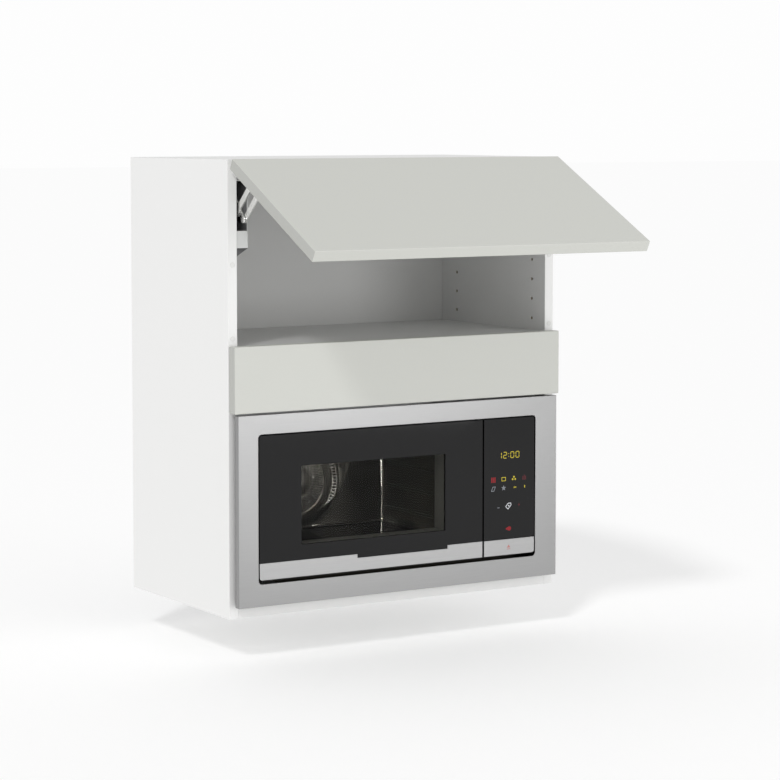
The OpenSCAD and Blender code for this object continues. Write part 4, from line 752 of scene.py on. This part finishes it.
# the studio: a pale floor under the hung cabinet, a white backdrop, one soft sun and a weak fill
studio = {"floorBelow": 70, "size": 40.0, "floorGlow": 0.19, "backdrop": 0.985, "ambient": 0.7}
mesh = bpy.data.meshes.new("floor")
bm = bmesh.new()
bmesh.ops.create_grid(bm, x_segments=1, y_segments=1, size=studio["size"])
bmesh.ops.translate(bm, vec=place(0, 0, -studio["floorBelow"]), verts=bm.verts)
bm.to_mesh(mesh)
bm.free()
floor = bpy.data.objects.new("floor", mesh)
bpy.context.scene.collection.objects.link(floor)
mesh.materials.append(newMaterial("floorPaint", {
    "Base Color": colour("#f3f3f3"), "Roughness": 1.0, "Specular IOR Level": 0.0, "Emission Color": (1, 1, 1, 1),
    "Emission Strength": studio["floorGlow"]})[0])
floor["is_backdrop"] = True
world = bpy.data.worlds.new("studio")
bpy.context.scene.world = world
world.use_nodes = True
sky = world.node_tree.nodes
sky["Background"].inputs["Color"].default_value = (1, 1, 1, 1)
path = sky.new("ShaderNodeLightPath")  # a white backdrop that lights the part only softly
level = sky.new("ShaderNodeMapRange")
level.inputs["To Min"].default_value, level.inputs["To Max"].default_value = studio["ambient"], studio["backdrop"]
world.node_tree.links.new(path.outputs["Is Camera Ray"], level.inputs["Value"])
world.node_tree.links.new(level.outputs[0], sky["Background"].inputs["Strength"])


def addLight(name, kind, at, target, power, **settings):
    data = bpy.data.lights.new(name, kind)
    data.energy = power
    for key, value in settings.items():
        setattr(data, key, value)
    light = bpy.data.objects.new(name, data)
    light.location = at
    light.rotation_euler = (Vector(target) - Vector(at)).to_track_quat("-Z", "Y").to_euler()
    bpy.context.scene.collection.objects.link(light)


# each light's kind, place, target and power, and its other settings; places are in metres
studioLights = {
    "key": ("SUN", (-0.857, -0.736, 1.0), (0, 0, 0), 0.79, {"angle": math.radians(8)}),
    "fill": ("AREA", (1.3, -3.2, -0.3), (0, -0.3, -0.25), 2.75,
             {"shape": "SQUARE", "size": 1.2, "spread": math.radians(70)}),
}
for name, (kind, at, target, power, settings) in studioLights.items():
    addLight(name, kind, at, target, power, **settings)

# small lamps inside the oven, in cabinet millimetres: one on the fan cover, one on the corners, one on the rim
ovenLights = {
    "ovenLamp": ((141, 60, 150), (-23, 278, 158), 0.026, {"shape": "SQUARE", "size": 0.04}),
    "ovenGlow": ((-184, 60, 166), (144, 278, 166), 0.045,
                 {"shape": "RECTANGLE", "size": 0.012, "size_y": 0.16, "spread": math.radians(60)}),
    "ovenSpark": ((10, 105, 252), (35, 275, 115), 0.09,
                  {"shape": "SQUARE", "size": 0.03, "spread": math.radians(60)}),
}
for name, (at, target, power, settings) in ovenLights.items():
    addLight(name, "AREA", place(*at), place(*target), power, **settings)
    bpy.data.objects[name].visible_camera = False

# the photo's camera, fitted to the carcass's edges
lens = {"at": (-2144.6, -3450.6, 755.8), "yaw": 31.714, "pitch": 4.527, "length": 119.693, "shift": -0.08,
        "sensor": 36.0, "clip": (0.1, 200.0)}
cameraData = bpy.data.cameras.new("camera")
cameraData.lens, cameraData.sensor_width, cameraData.shift_y = lens["length"], lens["sensor"], lens["shift"]
cameraData.clip_start, cameraData.clip_end = lens["clip"]
camera = bpy.data.objects.new("camera", cameraData)
yaw, pitch = math.radians(lens["yaw"]), math.radians(lens["pitch"])
forward = Vector((math.sin(yaw) * math.cos(pitch), math.cos(yaw) * math.cos(pitch), -math.sin(pitch)))
camera.location = place(*lens["at"])
camera.rotation_euler = forward.to_track_quat("-Z", "Y").to_euler()
bpy.context.scene.collection.objects.link(camera)
bpy.context.scene.camera = camera
bpy.context.scene.view_settings.view_transform = "Standard"
print("stage set")

low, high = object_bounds()
